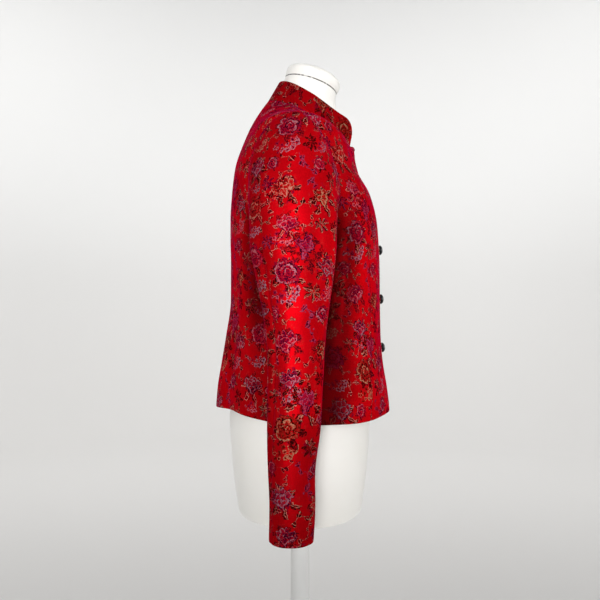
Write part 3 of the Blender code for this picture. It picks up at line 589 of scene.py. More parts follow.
class Wall:
    """A sheet given a wall: the grid moved half the wall out and half in, and a rounded rim between the two.

    faces holds vertex numbers, grid the (row, column) of each face corner, side the kind of each face, and
    outwards how far round the rim each face corner is."""

    def __init__(self, middle, wall, closed):
        rows, around = middle.shape[:2]
        columns = around + 1 if closed else around
        normal = grid_normals(middle, closed)
        push = np.zeros_like(middle)
        push[0] += unit(middle[0] - middle[1])
        push[-1] += unit(middle[-1] - middle[-2])
        if not closed:
            push[:, 0] += unit(middle[:, 0] - middle[:, 1])
            push[:, -1] += unit(middle[:, -1] - middle[:, -2])
        points = [(middle + way * normal * wall / 2).reshape(-1, 3) for way in (1, -1)]
        rim = middle + unit(push) * wall * RIM_BULGE

        def number(grid, layer):
            return layer * rows * around + grid[..., 0] * around + grid[..., 1] % around

        outside, inside = quads(rows, columns), quads(rows, columns, inwards=True)
        groups = [
            (number(outside, 0), outside, OUTSIDE, (0, 0, 0, 0)),
            (number(inside, 1), inside, INSIDE, (0, 0, 0, 0)),
        ]
        made = 2 * rows * around
        for loop in rim_loops(rows, columns, closed):
            a, b = loop[:-1], loop[1:]
            points.append(rim[a[:, 0], a[:, 1] % around])
            mid_a = made + np.arange(len(a))
            mid_b = np.roll(mid_a, -1)
            upper = vectors(number(b, 0), number(a, 0), mid_a, mid_b)
            lower = vectors(mid_b, mid_a, number(a, 1), number(b, 1))
            corners = np.stack([b, a, a, b], axis=1)
            groups += [(upper, corners, RIM, (0, 0, 1, 1)), (lower, corners, RIM, (1, 1, 2, 2))]
            made += len(a)
        faces, grid, side, outwards = zip(*groups)
        counts = [len(group) for group in faces]
        self.points, self.faces, self.grid = (np.concatenate(parts) for parts in (points, faces, grid))
        self.side, self.outwards = np.repeat(side, counts), np.repeat(outwards, counts, axis=0)
        self.shape = (rows, columns)

    def bake_places(self):
        """A flat layout of every face: the outside fills most of it, the inside has a band below, and the rim
        runs just outside the outside's edge."""
        up, across = np.moveaxis(self.grid / (np.array(self.shape) - 1), -1, 0)
        step = 0.004 * self.outwards
        high = 0.20 + 0.78 * up + step * (up * 2 - 1)
        low = 0.02 + 0.14 * up
        across = 0.02 + 0.96 * across + step * (across * 2 - 1)
        return vectors(across, np.where((self.side == INSIDE)[:, None], low, high))


def mesh_object(name, points, faces, finishes, slots=None):
    """A smooth-shaded object from arrays of points and face corners, with its materials."""
    mesh = bpy.data.meshes.new(name)
    mesh.from_pydata(points, [], faces)
    for finish in finishes:
        mesh.materials.append(finish)
    if slots is not None:
        mesh.polygons.foreach_set("material_index", slots.astype(np.int32))
    mesh.shade_smooth()
    mesh.update()
    made = bpy.data.objects.new(name, mesh)
    bpy.context.scene.collection.objects.link(made)
    return made


def put_map(mesh, name, places):
    """A UV map from one (u, v) for each face corner."""
    layer = mesh.uv_layers.new(name=name, do_init=False)
    layer.uv.foreach_set("vector", places.astype(np.float32).ravel())


def put_attribute(mesh, name, kind, domain, part, values):
    mesh.attributes.new(name, kind, domain).data.foreach_set(part, values.astype(np.float32).ravel())


def painted_sleeve_shade(points, sleeve):
    """How much painted shade darkens the cloth where a sleeve lies by the body, from 0 to 1: a painted shadow
    in the hollow between them, and painted shade on the sleeve's back and towards its cuff. Places are taken
    in the half sizes of the sleeve's oval: on the body it fades with the distance from a point a little
    behind the oval's middle, more slowly towards the front, and on the sleeve it grows towards its inner
    side, its back and its cuff."""
    rise = points[:, 2] - HEM_HEIGHT
    ring = ring_values(SLEEVE_TUBE, rise)
    across = (abs(points[:, 0]) - ring["centre_across"]) / ring["half_across"]
    ahead = (-points[:, 1] - ring["centre_forward"]) / ring["half_forward"]
    below = smooth_share(rise, *SHADE_FADE_LEVELS)
    if sleeve:
        back, cuff = smooth_share(ahead, -0.45, -0.90), smooth_share(rise, 0.06, -0.06)
        return np.max([smooth_share(across, 0.0, -0.9) * below, SLEEVE_BACK_SHADE * back, CUFF_SHADE * cuff], axis=0)
    away = np.hypot(across, ahead * np.where(ahead > 0, 0.76, 1.0) + 0.35)
    behind = (ahead < 0) * smooth_share(rise, 0.18, 0.10)
    return smooth_share(away, 2.9, 2.0) * below * (1 - 0.6 * behind)


def shade_seam_and_hem_marks(sheet, cloth, sewn, hemmed, sleeve, worn):
    """For each vertex: how much it is darkened, by the painted shade near the sleeves or by worn, an even
    darkening of the whole piece, whichever is more; how far it is from the nearest sewn edge; and how far up
    from the hem, or 1 m where there is none."""
    u, v = cloth[..., 0], cloth[..., 1]
    edges = {"left": u[:, :1], "right": u[:, -1:], "top": v[-1:], "bottom": v[:1]}
    apart = [abs((v if edge in ("top", "bottom") else u) - edges[edge]) for edge in sewn]
    grid = vectors(np.min(apart, axis=0), v if hemmed else 1.0)
    marks = np.zeros((len(sheet.points), 3))
    marks[sheet.faces.ravel(), 1:] = grid[sheet.grid[..., 0].ravel(), sheet.grid[..., 1].ravel()]
    # The painted shade by the sleeves, raised to the piece's even darkening where that is more.
    marks[:, 0] = np.maximum(painted_sleeve_shade(sheet.points, sleeve), worn)
    return marks


def cloth_piece(name, middle, cloth, wall, sewn, hemmed=True, closed=False, worn=0.0):
    """A piece of brocade: the walled grid, its cloth coordinates in metres, its painted shade and even
    darkening with its distances to the sewn edges and the hem, and the motif that lies under each face of
    each layer of the floral repeat."""
    sheet = Wall(middle, wall, closed)
    finishes = [finish_named("brocade_right_side"), finish_named("brocade_wrong_side")]
    made = mesh_object(name + "_cloth", sheet.points, sheet.faces, finishes, sheet.side == INSIDE)
    mesh = made.data
    corners = cloth[sheet.grid[..., 0], sheet.grid[..., 1]]
    put_map(mesh, "cloth", corners)
    offset = CUT_FROM[name.removeprefix("centre_").removeprefix("side_")]
    put_motifs(mesh, corners, sheet.side != INSIDE, offset)
    marks = shade_seam_and_hem_marks(sheet, cloth, sewn, hemmed, "sleeve" in name, worn)
    put_attribute(mesh, "shade_seam_and_hem", "FLOAT_VECTOR", "POINT", "vector", marks)
    put_map(mesh, "OFBake", sheet.bake_places())
    return made


def circle(count):
    """This many even angles once round."""
    return np.linspace(0, 2 * math.pi, count, endpoint=False)


def round_faces(rows, around, inwards=False):
    """The vertex numbers of the faces between rings of points, where the last point of a ring meets its
    first."""
    corners = quads(rows, around + 1, inwards)
    return corners[..., 0] * around + corners[..., 1] % around


def loop_object(name, line, normal, radius, finish, around=8):
    """A closed cord round a loop of points: a small circle about each, across the loop's own direction."""
    ahead = np.roll(line, -1, axis=0) - np.roll(line, 1, axis=0)
    side = unit(np.cross(ahead, normal))[:, None]
    turn = circle(around)[None, :, None]
    rings = line[:, None] + radius[:, None, None] * (np.cos(turn) * side + np.sin(turn) * normal[:, None])
    faces = round_faces(len(line) + 1, around) % (len(line) * around)
    return mesh_object(name, rings.reshape(-1, 3), faces, [finish])


def round_object(name, rings, finish):
    """A closed body through rings of points, with a flat face over each end."""
    rows, around = rings.shape[:2]
    ends = [list(range(around))[::-1], list(range((rows - 1) * around, rows * around))]
    made = mesh_object(name, rings.reshape(-1, 3), round_faces(rows, around).tolist() + ends, [finish])
    made.data.set_sharp_from_angle(angle=math.radians(50))
    return made


def turned_object(name, profile, finish, turns, place=(0.0, 0.0, 0.0), axis=(0.0, 0.0, 1.0)):
    """A turned piece: a profile of (radius, rise) from the bottom up, carried round the axis through place.
    Its points are place + radius * (cos t * side + sin t * other side) + rise * axis."""
    profile = np.array(profile, float)
    axis = unit(np.array(axis, float))
    side = unit(np.cross(axis, (1.0, 0.0, 0.0) if abs(axis[0]) < 0.9 else (0.0, 1.0, 0.0)))
    turn = circle(turns)[:, None]
    out = np.cos(turn) * side + np.sin(turn) * np.cross(axis, side)
    rings = np.array(place) + profile[:, :1, None] * out + profile[:, 1:, None] * axis
    return round_object(name, rings, finish)


# ---------------------------------------------------------------- the brocade's motifs
# Each motif is drawn about its own centre with a radius of 1 and gives (cover, tone): cover is 1 on its
# threads, and tone runs from 0, the dark outline threads, past 0.5, the fill, to 1, the light threads.
def over(below, above):
    cover = below[0] + (1 - below[0]) * above[0]
    return cover, below[1] + (above[1] - below[1]) * above[0]


def petal_ring(p, x, y, radius, petals, twist, scallop, line, depth, dark_from):
    """A ring of petals: the radius times a scallop |cos(petals * angle / 2)|, with a rim that is light on one
    side and dark on the other, a red middle and a dark crescent inside it."""
    angle = p.turn(x, y)
    lobe = p.size(p.cos((angle + twist) * (petals * 0.5)))
    inside = radius * (1 - scallop + scallop * p.power(lobe, 0.6)) - p.length(x, y)
    side = 0.5 + 0.5 * p.sin(angle + dark_from)
    middle = p.step(inside, line, line + 0.03)
    rim = p.step(inside, -0.01, 0.01) * (1 - middle) * (1 - 0.6 * side)
    tone = rim + middle * 0.5 - p.step(inside, line + 0.2 * depth, line + 0.5 * depth) * (0.10 + 0.62 * side)
    return p.step(inside, -0.045, -0.03), tone * (1 - 0.8 * p.step(lobe, 0.24, 0.06))


def rose(p, x, y, seed, petals):
    """Three rings of petals, each smaller and a little aside."""
    out = petal_ring(p, x, y, 0.68, petals, seed * 6, 0.24, 0.100, 0.12, 1.0 + seed)
    ring = petal_ring(p, x - 0.04, y + 0.02, 0.42, petals - 2, seed * 4 + 1, 0.16, 0.085, 0.12, 3.6 + seed)
    heart = petal_ring(p, x - 0.06, y + 0.04, 0.19, petals - 4, seed * 3 + 2, 0.14, 0.040, 0.30, 2.4 + seed)
    return over(over(out, ring), heart)


def leaf_ring(p, x, y, seed, inner, count=7, width=0.19):
    """Leaves that stand out round a flower, or alone round their own foot: the angle is folded into one
    leaf's share, in which the leaf is a lens with a toothed edge, light on one side, a rib and veins."""
    turns = p.turn(x, y) * (count / (2 * math.pi)) + seed * 3
    cell = p.floor(turns)
    vary = p.sin(cell * 12.9 + seed * 4)
    local = (turns - cell - 0.5 + 0.16 * vary) * (2 * math.pi / count)
    reach = 0.98 + 0.22 * p.sin(cell * 5.3 + seed * 2)
    away = p.length(x, y)
    out = (away * p.cos(local) - inner) / (reach - inner)
    across = away * p.sin(local) - 0.10 * vary * out * out
    teeth = 0.80 + 0.20 * p.size(p.sin(out * 13))
    inside = p.power(p.most(out * (1 - out) * 4, 0.0), 0.7) * (width * teeth) - p.size(across)
    rib = p.step(p.size(across), 0.042, 0.018)
    vein = p.step(p.size(p.sin(out * 13 - p.size(across) * 22)), 0.40, 0.15) * 0.5
    edge = p.step(inside, 0.075, 0.040) * p.step(across * (vary + 0.3), -0.005, 0.010)
    tone = p.most(p.most(rib * 0.9, edge), vein)
    return p.step(inside, 0.0, 0.02), tone * (0.65 + 0.35 * vary)


def fan(p, x, y, seed, spread, petals):
    """A flower seen from its side: three fans of petals, one before the other, that open from its foot."""
    away = p.length(x, y + 0.52)
    angle = p.turn(y + 0.52, x)
    out = None
    for k, reach in enumerate((1.15, 0.86, 0.56)):
        wide = spread * (1 - 0.12 * k)
        count = p.most(petals - 2 * k, 2.0)
        lobe = p.size(p.cos(angle * count * (0.5 * math.pi) / wide + 0.3 * k + seed * 3))
        edge = reach * (0.76 + 0.24 * p.power(lobe, 0.6)) * (1 - 0.18 * p.power(p.size(angle) / wide, 2.0))
        inside = p.least(edge - away, (wide - p.size(angle)) * away * 0.9)
        tone = p.step(inside, -0.01, 0.01) - 0.5 * p.step(inside, 0.05, 0.08)
        tone = tone - 0.5 * p.step(inside, 0.16, 0.34) * (0.4 + 0.6 * p.step(away, 0.9, 0.5))
        tone = p.most(tone, p.step(lobe, 0.34, 0.12) * p.step(away, 0.1, 0.3) * 0.95)
        dull = p.step(p.sin(angle * 2.3 + seed * 9 + k), 0.1, 0.8) * p.step(inside, 0.0, 0.06)
        tone = tone * (1 - 0.75 * dull)
        ring = (p.step(inside, -0.045, -0.03), tone)
        out = ring if out is None else over(out, ring)
    return out


def vine(p, x, y, seed, leaves):
    """A twig along x that waves as a sine, with leaves on each side in turn."""
    aside = y - 0.16 * p.sin(x * 3.1 + seed * 5)
    twig = p.step(p.size(aside), 0.045, 0.022) * p.step(p.size(x), 0.95, 0.90)
    at = x * (leaves * 0.5) + seed * 2
    cell = p.floor(at)
    size = 0.70 + 0.30 * p.sin(cell * 7.7 + seed * 3)
    u = (at - cell - 0.5) * 2 / leaves
    v = aside * p.sin(cell * math.pi + math.pi / 2)
    leaf = 1.8 / leaves
    out = (u * 0.55 + v * 0.83 + 0.07) / (leaf * 1.5 * size)
    across = p.size(u * 0.83 - v * 0.55 + 0.05)
    inside = p.power(p.most(out * (1 - out) * 4, 0.0), 0.8) * (leaf * 0.42) - across
    cover = p.step(inside, 0.0, 0.02) * p.step(p.size(x), 0.90, 0.89)
    tone = p.most(p.step(across, 0.05, 0.02) * 0.9, p.step(inside, 0.050, 0.022) * p.step(v, 0.0, 0.03))
    return over((twig, 0.75), (cover, tone))


def posy(p, x, y, count, stretch):
    """A cluster of five-petalled blossoms, one in each cell of a random net that lies in the cluster."""
    across, up, random = p.cells(x, y, count, 0.45)
    lobe = p.size(p.cos((p.turn(across, up) + random * 6) * 2.5))
    away = p.length(across, up) * count
    inside = 0.50 * (0.42 + 0.58 * p.power(lobe, 0.5)) - away * (1.0 + 0.25 * p.sin(random * 40))
    kept = p.step(p.length(x - across, (y - up) * stretch) + 0.14 * p.sin(random * 30), 0.785, 0.78)
    tone = (0.25 + 0.75 * p.step(away, 0.10, 0.30)) * (1 - 0.9 * p.step(away, 0.12, 0.07))
    tone = tone * (1 - 0.7 * p.step(lobe, 0.35, 0.15)) * (1 - 0.5 * p.step(p.sin(random * 50), 0.30, 0.31))
    return p.step(inside, 0.0, 0.05) * kept, tone


# Dark, fill and light threads of each colourway, in the order in which a motif names them.
THREADS = {
    "mauve": ((0.008, 0.001, 0.008), (0.10, 0.004, 0.030), (0.29, 0.120, 0.150)),
    "gold": ((0.060, 0.002, 0.003), (0.22, 0.012, 0.009), (0.38, 0.145, 0.105)),
    "pink": ((0.045, 0.001, 0.010), (0.20, 0.005, 0.035), (0.38, 0.095, 0.120)),
    "lilac": ((0.007, 0.001, 0.010), (0.08, 0.008, 0.040), (0.27, 0.120, 0.160)),
    "slate": ((0.005, 0.001, 0.007), (0.05, 0.008, 0.025), (0.20, 0.115, 0.150)),
    "olive": ((0.006, 0.002, 0.001), (0.07, 0.012, 0.006), (0.34, 0.145, 0.085)),
    "plum": ((0.008, 0.001, 0.007), (0.13, 0.003, 0.028), (0.26, 0.035, 0.075)),
    "leaf": ((0.004, 0.001, 0.001), (0.02, 0.002, 0.003), (0.42, 0.165, 0.120)),
    "salmon": ((0.030, 0.001, 0.003), (0.20, 0.008, 0.012), (0.48, 0.165, 0.130)),
}
COLOURWAYS = list(THREADS)
PLUM, LEAF = COLOURWAYS.index("plum"), COLOURWAYS.index("leaf")

# The floral repeat, in millimetres from the middle of its biggest rose. Each motif names its layer, centre,
# radius, turn in degrees, form, flatness and its colourway in three repeats that follow one another. The form
# is the number of petals, plus SIDEWAYS for a flower seen from its side, 0 for leaves alone, or the number of
# blossoms or leaves across. Faces more than REACH radii from a motif don't show it, and are sent FAR_AWAY.
REPEAT = (165.0, 216.0)
SEED_BY_MOTIF, SEED_BY_REPEAT = 0.37, (0.19, 0.43)
SIDEWAYS = 20
REACH, FAR_AWAY = 1.35, 9.0
MOTIFS = (
    ("bloom", 0, 0, 27, 10, 7, 1, "mauve", "mauve", "olive"),
    ("bloom", -5, -98, 26, 15, 25, 1, "gold", "pink", "lilac"),
    ("bloom", 2, -150, 22, 0, 25, 1, "pink", "lilac", "mauve"),
    ("bloom", 27, -184, 32, -8, 22, 1, "plum", "plum", "plum"),
    ("bloom", 54, -111, 24, 20, 23, 1, "olive", "olive", "gold"),
    ("bloom", 60, 6, 22, -20, 25, 1, "lilac", "slate", "mauve"),
    ("bloom", 50, -57, 16, 50, 5, 1, "pink", "mauve", "lilac"),
    ("bloom", 106, -56, 26, 0, 25, 1, "slate", "lilac", "slate"),
    ("bloom", 107, -121, 25, 80, 6, 1, "olive", "gold", "olive"),
    ("bloom", 134, -88, 13, 60, 0, 1, "leaf", "plum", "leaf"),
    ("bloom", 79, -151, 15, 10, 0, 1, "leaf", "leaf", "salmon"),
    ("bloom", 36, -26, 15, -40, 0, 1, "leaf", "leaf", "leaf"),
    ("bloom", 108, -191, 25, 20, 8, 1, "plum", "pink", "plum"),
    ("bloom", 74, -78, 14, 30, 0, 1, "leaf", "salmon", "leaf"),
    ("bloom", 142, -57, 14, -30, 5, 1, "pink", "mauve", "pink"),
    ("bloom", 52, -148, 12, 0, 0, 1, "leaf", "leaf", "plum"),
    ("bloom", 138, -172, 12, 0, 0, 1, "leaf", "plum", "leaf"),
    ("posy", -3, -34, 30, 6, 3.9, 2.0, "mauve", "lilac", "olive"),
    ("vine", -3, -76, 17, 64, 4.0, 2, "salmon", "gold", "salmon"),
    ("posy", 0, -170, 21, 0, 3.1, 1.0, "pink", "slate", "pink"),
    ("posy", 56, -30, 19, 35, 2.9, 1.4, "lilac", "pink", "lilac"),
    ("posy", 104, -155, 20, -15, 3.0, 1.4, "pink", "lilac", "gold"),
    ("posy", 106, -18, 20, -5, 3.0, 1.4, "mauve", "gold", "slate"),
    ("posy", 107, -89, 15, 0, 2.4, 1.2, "gold", "slate", "pink"),
    ("vine", 2, -51, 13, 22, 1.6, 2, "salmon", "salmon", "salmon"),
    ("vine", 30, -70, 30, -68, 5.0, 2, "plum", "plum", "plum"),
    ("vine", -19, -116, 19, 60, 3.0, 2, "salmon", "pink", "salmon"),
    ("vine", 33, -146, 18, 62, 4.0, 2, "salmon", "gold", "salmon"),
    ("vine", 80, -108, 19, -80, 5.0, 2, "leaf", "plum", "leaf"),
    ("vine", 80, -152, 19, 70, 4.0, 2, "gold", "salmon", "gold"),
    ("vine", 133, -88, 20, 100, 4.0, 2, "leaf", "salmon", "leaf"),
    ("vine", 131, -20, 20, 45, 4.0, 2, "salmon", "leaf", "salmon"),
    ("vine", 80, -197, 20, 120, 5.0, 2, "salmon", "leaf", "gold"),
    ("vine", 55, -197, 16, 20, 3.0, 2, "leaf", "gold", "salmon"),
    ("vine", -10, -186, 17, 10, 4.0, 2, "salmon", "salmon", "leaf"),
    ("vine", 134, -145, 17, 40, 4.0, 2, "salmon", "leaf", "gold"),
    ("vine", 22, -124, 15, 20, 3.0, 2, "leaf", "salmon", "leaf"),
    ("vine", 74, -42, 14, -60, 3.0, 2, "leaf", "salmon", "salmon"),
    ("vine", 80, -18, 12, 10, 3.0, 2, "salmon", "leaf", "salmon"),
    ("vine", 122, -2, 13, 40, 3.0, 2, "salmon", "leaf", "salmon"),
)
LAYERS = ("vine", "posy", "bloom")


def motif_under(layer, places):
    """For places on the cloth in millimetres, the motif of one layer that is nearest in terms of its own
    radius: its centre, its radius and turn, (form, colourway number, seed, flatness), and whether it is in
    reach. The seed and colourway change from one repeat to the next."""
    nearest = np.full(len(places), REACH)
    centre, turned, kind = np.zeros((len(places), 2)), np.zeros((len(places), 2)), np.ones((len(places), 4))
    for number, (kept, x, y, radius, turn, form, flat, *colourways) in enumerate(MOTIFS):
        if kept != layer:
            continue
        a = math.radians(turn)
        index = np.array([COLOURWAYS.index(name) for name in colourways])
        repeat = np.round((places - (x, y)) / REPEAT)
        for step in ((0, 0), (-1, 0), (1, 0), (0, -1), (0, 1)):
            which = repeat + step
            middle = which * REPEAT + (x, y)
            away = places - middle
            along_x = away @ (math.cos(a), math.sin(a)) / radius
            along_y = away @ (-math.sin(a), math.cos(a)) / radius * flat
            far = np.hypot(along_x, along_y)
            here = far < nearest
            nearest[here] = far[here]
            centre[here] = middle[here]
            turned[here] = radius, a
            seed = (number * SEED_BY_MOTIF + which @ SEED_BY_REPEAT) % 1
            colourway = index[((2 - which.sum(axis=1)) % 3).astype(int)]
            kind[here] = vectors(form, colourway, seed, flat)[here]
    return centre, turned, kind, nearest < REACH


def put_motifs(mesh, corners, shown, offset):
    """Gives the mesh a UV map for each layer, which holds each face corner's place in the motif under that
    face, and a face attribute with the motif's kind."""
    places = (corners + offset) * 1000
    for layer in LAYERS:
        centre, turned, kind, found = motif_under(layer, places.mean(axis=1))
        away = (places - centre[:, None]) / np.maximum(turned[:, :1, None], 1)
        c, s = np.cos(turned[:, 1:]), np.sin(turned[:, 1:])
        local = vectors(away[..., 0] * c + away[..., 1] * s, away[..., 1] * c - away[..., 0] * s)
        local[~(found & shown)] = FAR_AWAY
        put_map(mesh, layer, local)
        put_attribute(mesh, layer + "_kind", "FLOAT_COLOR", "FACE", "color", kind)


# ---------------------------------------------------------------- finishes
class Field:
    """A number that varies over a surface: an output of a material's nodes. Arithmetic on it adds nodes."""

    def __init__(self, paint, socket):
        self.paint, self.socket = paint, socket


for short, operation in (("add", "ADD"), ("sub", "SUBTRACT"), ("mul", "MULTIPLY"), ("truediv", "DIVIDE")):
    setattr(Field, f"__{short}__", lambda a, b, o=operation: a.paint.math(o, a, b))
    setattr(Field, f"__r{short}__", lambda a, b, o=operation: a.paint.math(o, b, a))


class Paint:
    """A material being built: its node tree, and short ways to add and join nodes."""

    def __init__(self, name):
        self.material = bpy.data.materials.new(name)
        self.material.use_nodes = True
        self.tree = self.material.node_tree
        self.shader = self.tree.nodes["Principled BSDF"]

    def node(self, kind, **settings):
        made = self.tree.nodes.new(kind)
        for name, value in settings.items():
            setattr(made, name, value)
        return made

    def put(self, value, socket):
        """Joins a field to a socket, or sets the socket to a plain number or colour."""
        if isinstance(value, Field):
            self.tree.links.new(value.socket, socket)
        else:
            socket.default_value = value

    def math(self, operation, *values):
        made = self.node("ShaderNodeMath", operation=operation)
        for value, socket in zip(values, made.inputs):
            self.put(value, socket)
        return Field(self, made.outputs[0])

    def length(self, x, y):
        return self.math("SQRT", x * x + y * y)

    def turn(self, x, y):
        """The angle of (x, y) from the x axis."""
        return self.math("ARCTAN2", y, x)

    def step(self, value, low, high):
        """0 where value is low, 1 where it is high, and a smooth step between; low may be above high."""
        made = self.node("ShaderNodeMapRange", interpolation_type="SMOOTHSTEP")
        for place, number in zip(("Value", "From Min", "From Max"), (value, low, high)):
            self.put(number, made.inputs[place])
        return Field(self, made.outputs["Result"])

    def blend(self, share, first, second):
        """first where share is 0 and second where it is 1, for colours."""
        made = self.node("ShaderNodeMix", data_type="RGBA")
        self.put(share, made.inputs["Factor"])
        for value, socket in zip((first, second), (s for s in made.inputs if s.type == "RGBA")):
            self.put(value, socket)
        return Field(self, next(s for s in made.outputs if s.type == "RGBA"))

    def place(self):
        return self.node("ShaderNodeTexCoord").outputs["Object"]

    def map_place(self, name):
        return self.node("ShaderNodeUVMap", uv_map=name).outputs["UV"]

    def split(self, vector):
        made = self.node("ShaderNodeSeparateXYZ")
        self.tree.links.new(vector, made.inputs[0])
        return [Field(self, socket) for socket in made.outputs]

    def join(self, x, y, z=0.0):
        made = self.node("ShaderNodeCombineXYZ")
        for value, socket in zip((x, y, z), made.inputs):
            self.put(value, socket)
        return made.outputs[0]

    def noise_node(self, vector, scale, detail=2.0, roughness=0.5, dimensions="3D"):
        made = self.node("ShaderNodeTexNoise", noise_dimensions=dimensions)
        self.tree.links.new(vector, made.inputs["Vector"])
        for name, value in (("Scale", scale), ("Detail", detail), ("Roughness", roughness)):
            made.inputs[name].default_value = value
        return made

    def noise(self, *settings):
        return Field(self, self.noise_node(*settings).outputs["Fac"])

    def flat_noises(self, vector, scale, detail):
        """Three noises over the flat cloth at once."""
        return self.split(self.noise_node(vector, scale, detail, dimensions="2D").outputs["Color"])

    def drawn_out_noise(self, scales, detail):
        """A noise over the object whose scale differs along x, y and z."""
        at = [place * scale for place, scale in zip(self.split(self.place()), scales)]
        return self.noise(self.join(*at), 1.0, detail)

    def facing(self):
        """0 where the surface faces the eye, and 1 at its outline."""
        return Field(self, self.node("ShaderNodeLayerWeight").outputs["Facing"])

    def cells(self, x, y, scale, randomness):
        """The offset from the nearest point of a random net, across and up, and that point's own number."""
        made = self.node("ShaderNodeTexVoronoi", voronoi_dimensions="2D", feature="F1")
        self.tree.links.new(self.join(x, y), made.inputs["Vector"])
        for name, value in (("Scale", scale), ("Randomness", randomness)):
            self.put(value, made.inputs[name])
        at = self.split(made.outputs["Position"])
        return x - at[0], y - at[1], self.split(made.outputs["Color"])[0]

    def bump(self, height, distance, strength=1.0):
        made = self.node("ShaderNodeBump")
        made.inputs["Strength"].default_value = strength
        made.inputs["Distance"].default_value = distance
        self.put(height, made.inputs["Height"])
        self.tree.links.new(made.outputs["Normal"], self.shader.inputs["Normal"])

    def finish(self, **values):
        """Sets the shader's own sockets by name, with underscores for spaces."""
        for name, value in values.items():
            self.put(value, self.shader.inputs[name.replace("_", " ")])
        return self.material


for short, operation in (
    ("sin", "SINE"), ("cos", "COSINE"), ("size", "ABSOLUTE"), ("least", "MINIMUM"), ("most", "MAXIMUM"),
    ("power", "POWER"), ("floor", "FLOOR"),
):
    setattr(Paint, short, lambda paint, *values, o=operation: paint.math(o, *values))


# ---------------------------------------------------------------- sizes and colours that a user may change
def length(name, description, default, **limits):
    return bpy.props.FloatProperty(
        name=name, description=description, default=default, unit="LENGTH", precision=4, **limits
    )


def colour(name, description, default):
    return bpy.props.FloatVectorProperty(
        name=name, description=description, default=default, subtype="COLOR", size=3, min=0.0, max=1.0
    )


class TANGJACKET_PG_sizes(bpy.types.PropertyGroup):
    wall: length("Cloth wall", "Thickness of the brocade with its interlining", 0.0015, min=0.0005, max=0.003)
    grid_step: length("Grid step", "Distance between the cloth's grid lines", 0.004, min=0.002, max=0.01)
    seam_dip: length("Seam dip", "How far the cloth turns in at a seam", 0.0006, min=0.0, max=0.001)
    seam_dip_width: length("Seam dip width", "Half width of the dip at a seam", 0.0018, min=0.0005, max=0.01)
    button_radius: length("Button radius", "Radius of a domed button", 0.0087, min=0.004, max=0.012)
    button_height: length("Button height", "Height of a button's dome", 0.0062, min=0.002, max=0.009)
    shank_radius: length("Shank radius", "Radius of the stem under a button", 0.0025, min=0.001, max=0.004)
    shank_length: length("Shank length", "Length of the stem under a button", 0.0012, min=0.0, max=0.003)
    buttonhole_length: length("Buttonhole length", "Length of a worked buttonhole", 0.019, min=0.01, max=0.03)
    buttonhole_width: length("Buttonhole width", "Width of a worked buttonhole", 0.0026, min=0.001, max=0.005)
    silk_radius: length("Silk radius", "Radius of the silk round a buttonhole", 0.0007, min=0.0003, max=0.001)
    pole_radius: length("Pole radius", "Radius of the stand's pole", 0.016, min=0.008, max=0.03)
    base_radius: length("Base radius", "Radius of the stand's round base", 0.170, min=0.1, max=0.17)
    base_thickness: length("Base thickness", "Thickness of the round base", 0.016, min=0.008, max=0.016)
    base_round: length("Base rounding", "Radius of the base's two rims", 0.003, min=0.001, max=0.006)


class TANGJACKET_PG_finishes(bpy.types.PropertyGroup):
    ground: colour("Ground", "Satin ground of the brocade", (0.40, 0.001, 0.004))
    sheen: colour("Sheen", "Crimson sheen of the satin seen at a low angle", (0.80, 0.0, 0.16))
    button: colour("Buttons", "Black of the glossy buttons", (0.006, 0.005, 0.006))
    cover: colour("Form cover", "Jersey cover of the dress form", (0.80, 0.785, 0.75))
    metal: colour("Stand", "Paint of the pole and the base", (0.70, 0.70, 0.69))
    paper: colour("Studio", "Paper of the studio's floor and wall", (0.80, 0.80, 0.795))


def sizes():
    return bpy.context.scene.tang_jacket_sizes


def finishes():
    return bpy.context.scene.tang_jacket_finishes


def rgba(colour, *factors):
    """A colour with its opacity, its parts times these factors."""
    return (*(part * factor for part, factor in zip(colour, factors or (1, 1, 1))), 1.0)


def finish_named(name):
    """The material of this name, made the first time that a piece asks for it."""
    return bpy.data.materials.get(name) or FINISHES[name](Paint(name))


def thread_ramp(paint, index, shade):
    """The dark (0), fill (1) or light (2) thread of the colourway with this number."""
    made = paint.node("ShaderNodeValToRGB")
    made.color_ramp.interpolation = "CONSTANT"
    stops = made.color_ramp.elements
    for number in range(1, len(COLOURWAYS) - 1):
        stops.new(number / len(COLOURWAYS))
    for number, threads in enumerate(THREADS.values()):
        stops[number].position = number / len(COLOURWAYS)
        stops[number].color = rgba(threads[shade])
    paint.put((index + 0.5) / len(COLOURWAYS), made.inputs[0])
    return Field(paint, made.outputs["Color"])


def bloom(p, x, y, form, index, seed, patches):
    """A flower or leaves alone: its layers from the lowest up, each (cover, tone, colourway number). They are
    dark threads in patches, where patches is above 0, then its leaves, then its petals."""
    sideways = p.step(form, SIDEWAYS - 0.6, SIDEWAYS - 0.4)
    petals = form - SIDEWAYS * sideways
    flower = p.step(form, 0.4, 0.6)
    shade = p.step(patches, 0.02, 0.07) * p.step(p.length(x, y), 1.05, 0.70) * 0.75
    leaves = leaf_ring(p, x, y, seed, 0.10 + 0.30 * flower)
    seen = zip(rose(p, x, y, seed, petals), fan(p, x, y, seed, 0.17 + 0.15 * petals, petals))
    cover, tone = (above + (aside - above) * sideways for above, aside in seen)
    return [
        (shade, 0.1, PLUM + p.floor(seed + 0.5)),
        (*leaves, index + (LEAF + p.floor(seed + 0.45) - index) * flower),
        (cover * flower, tone, index),
    ]


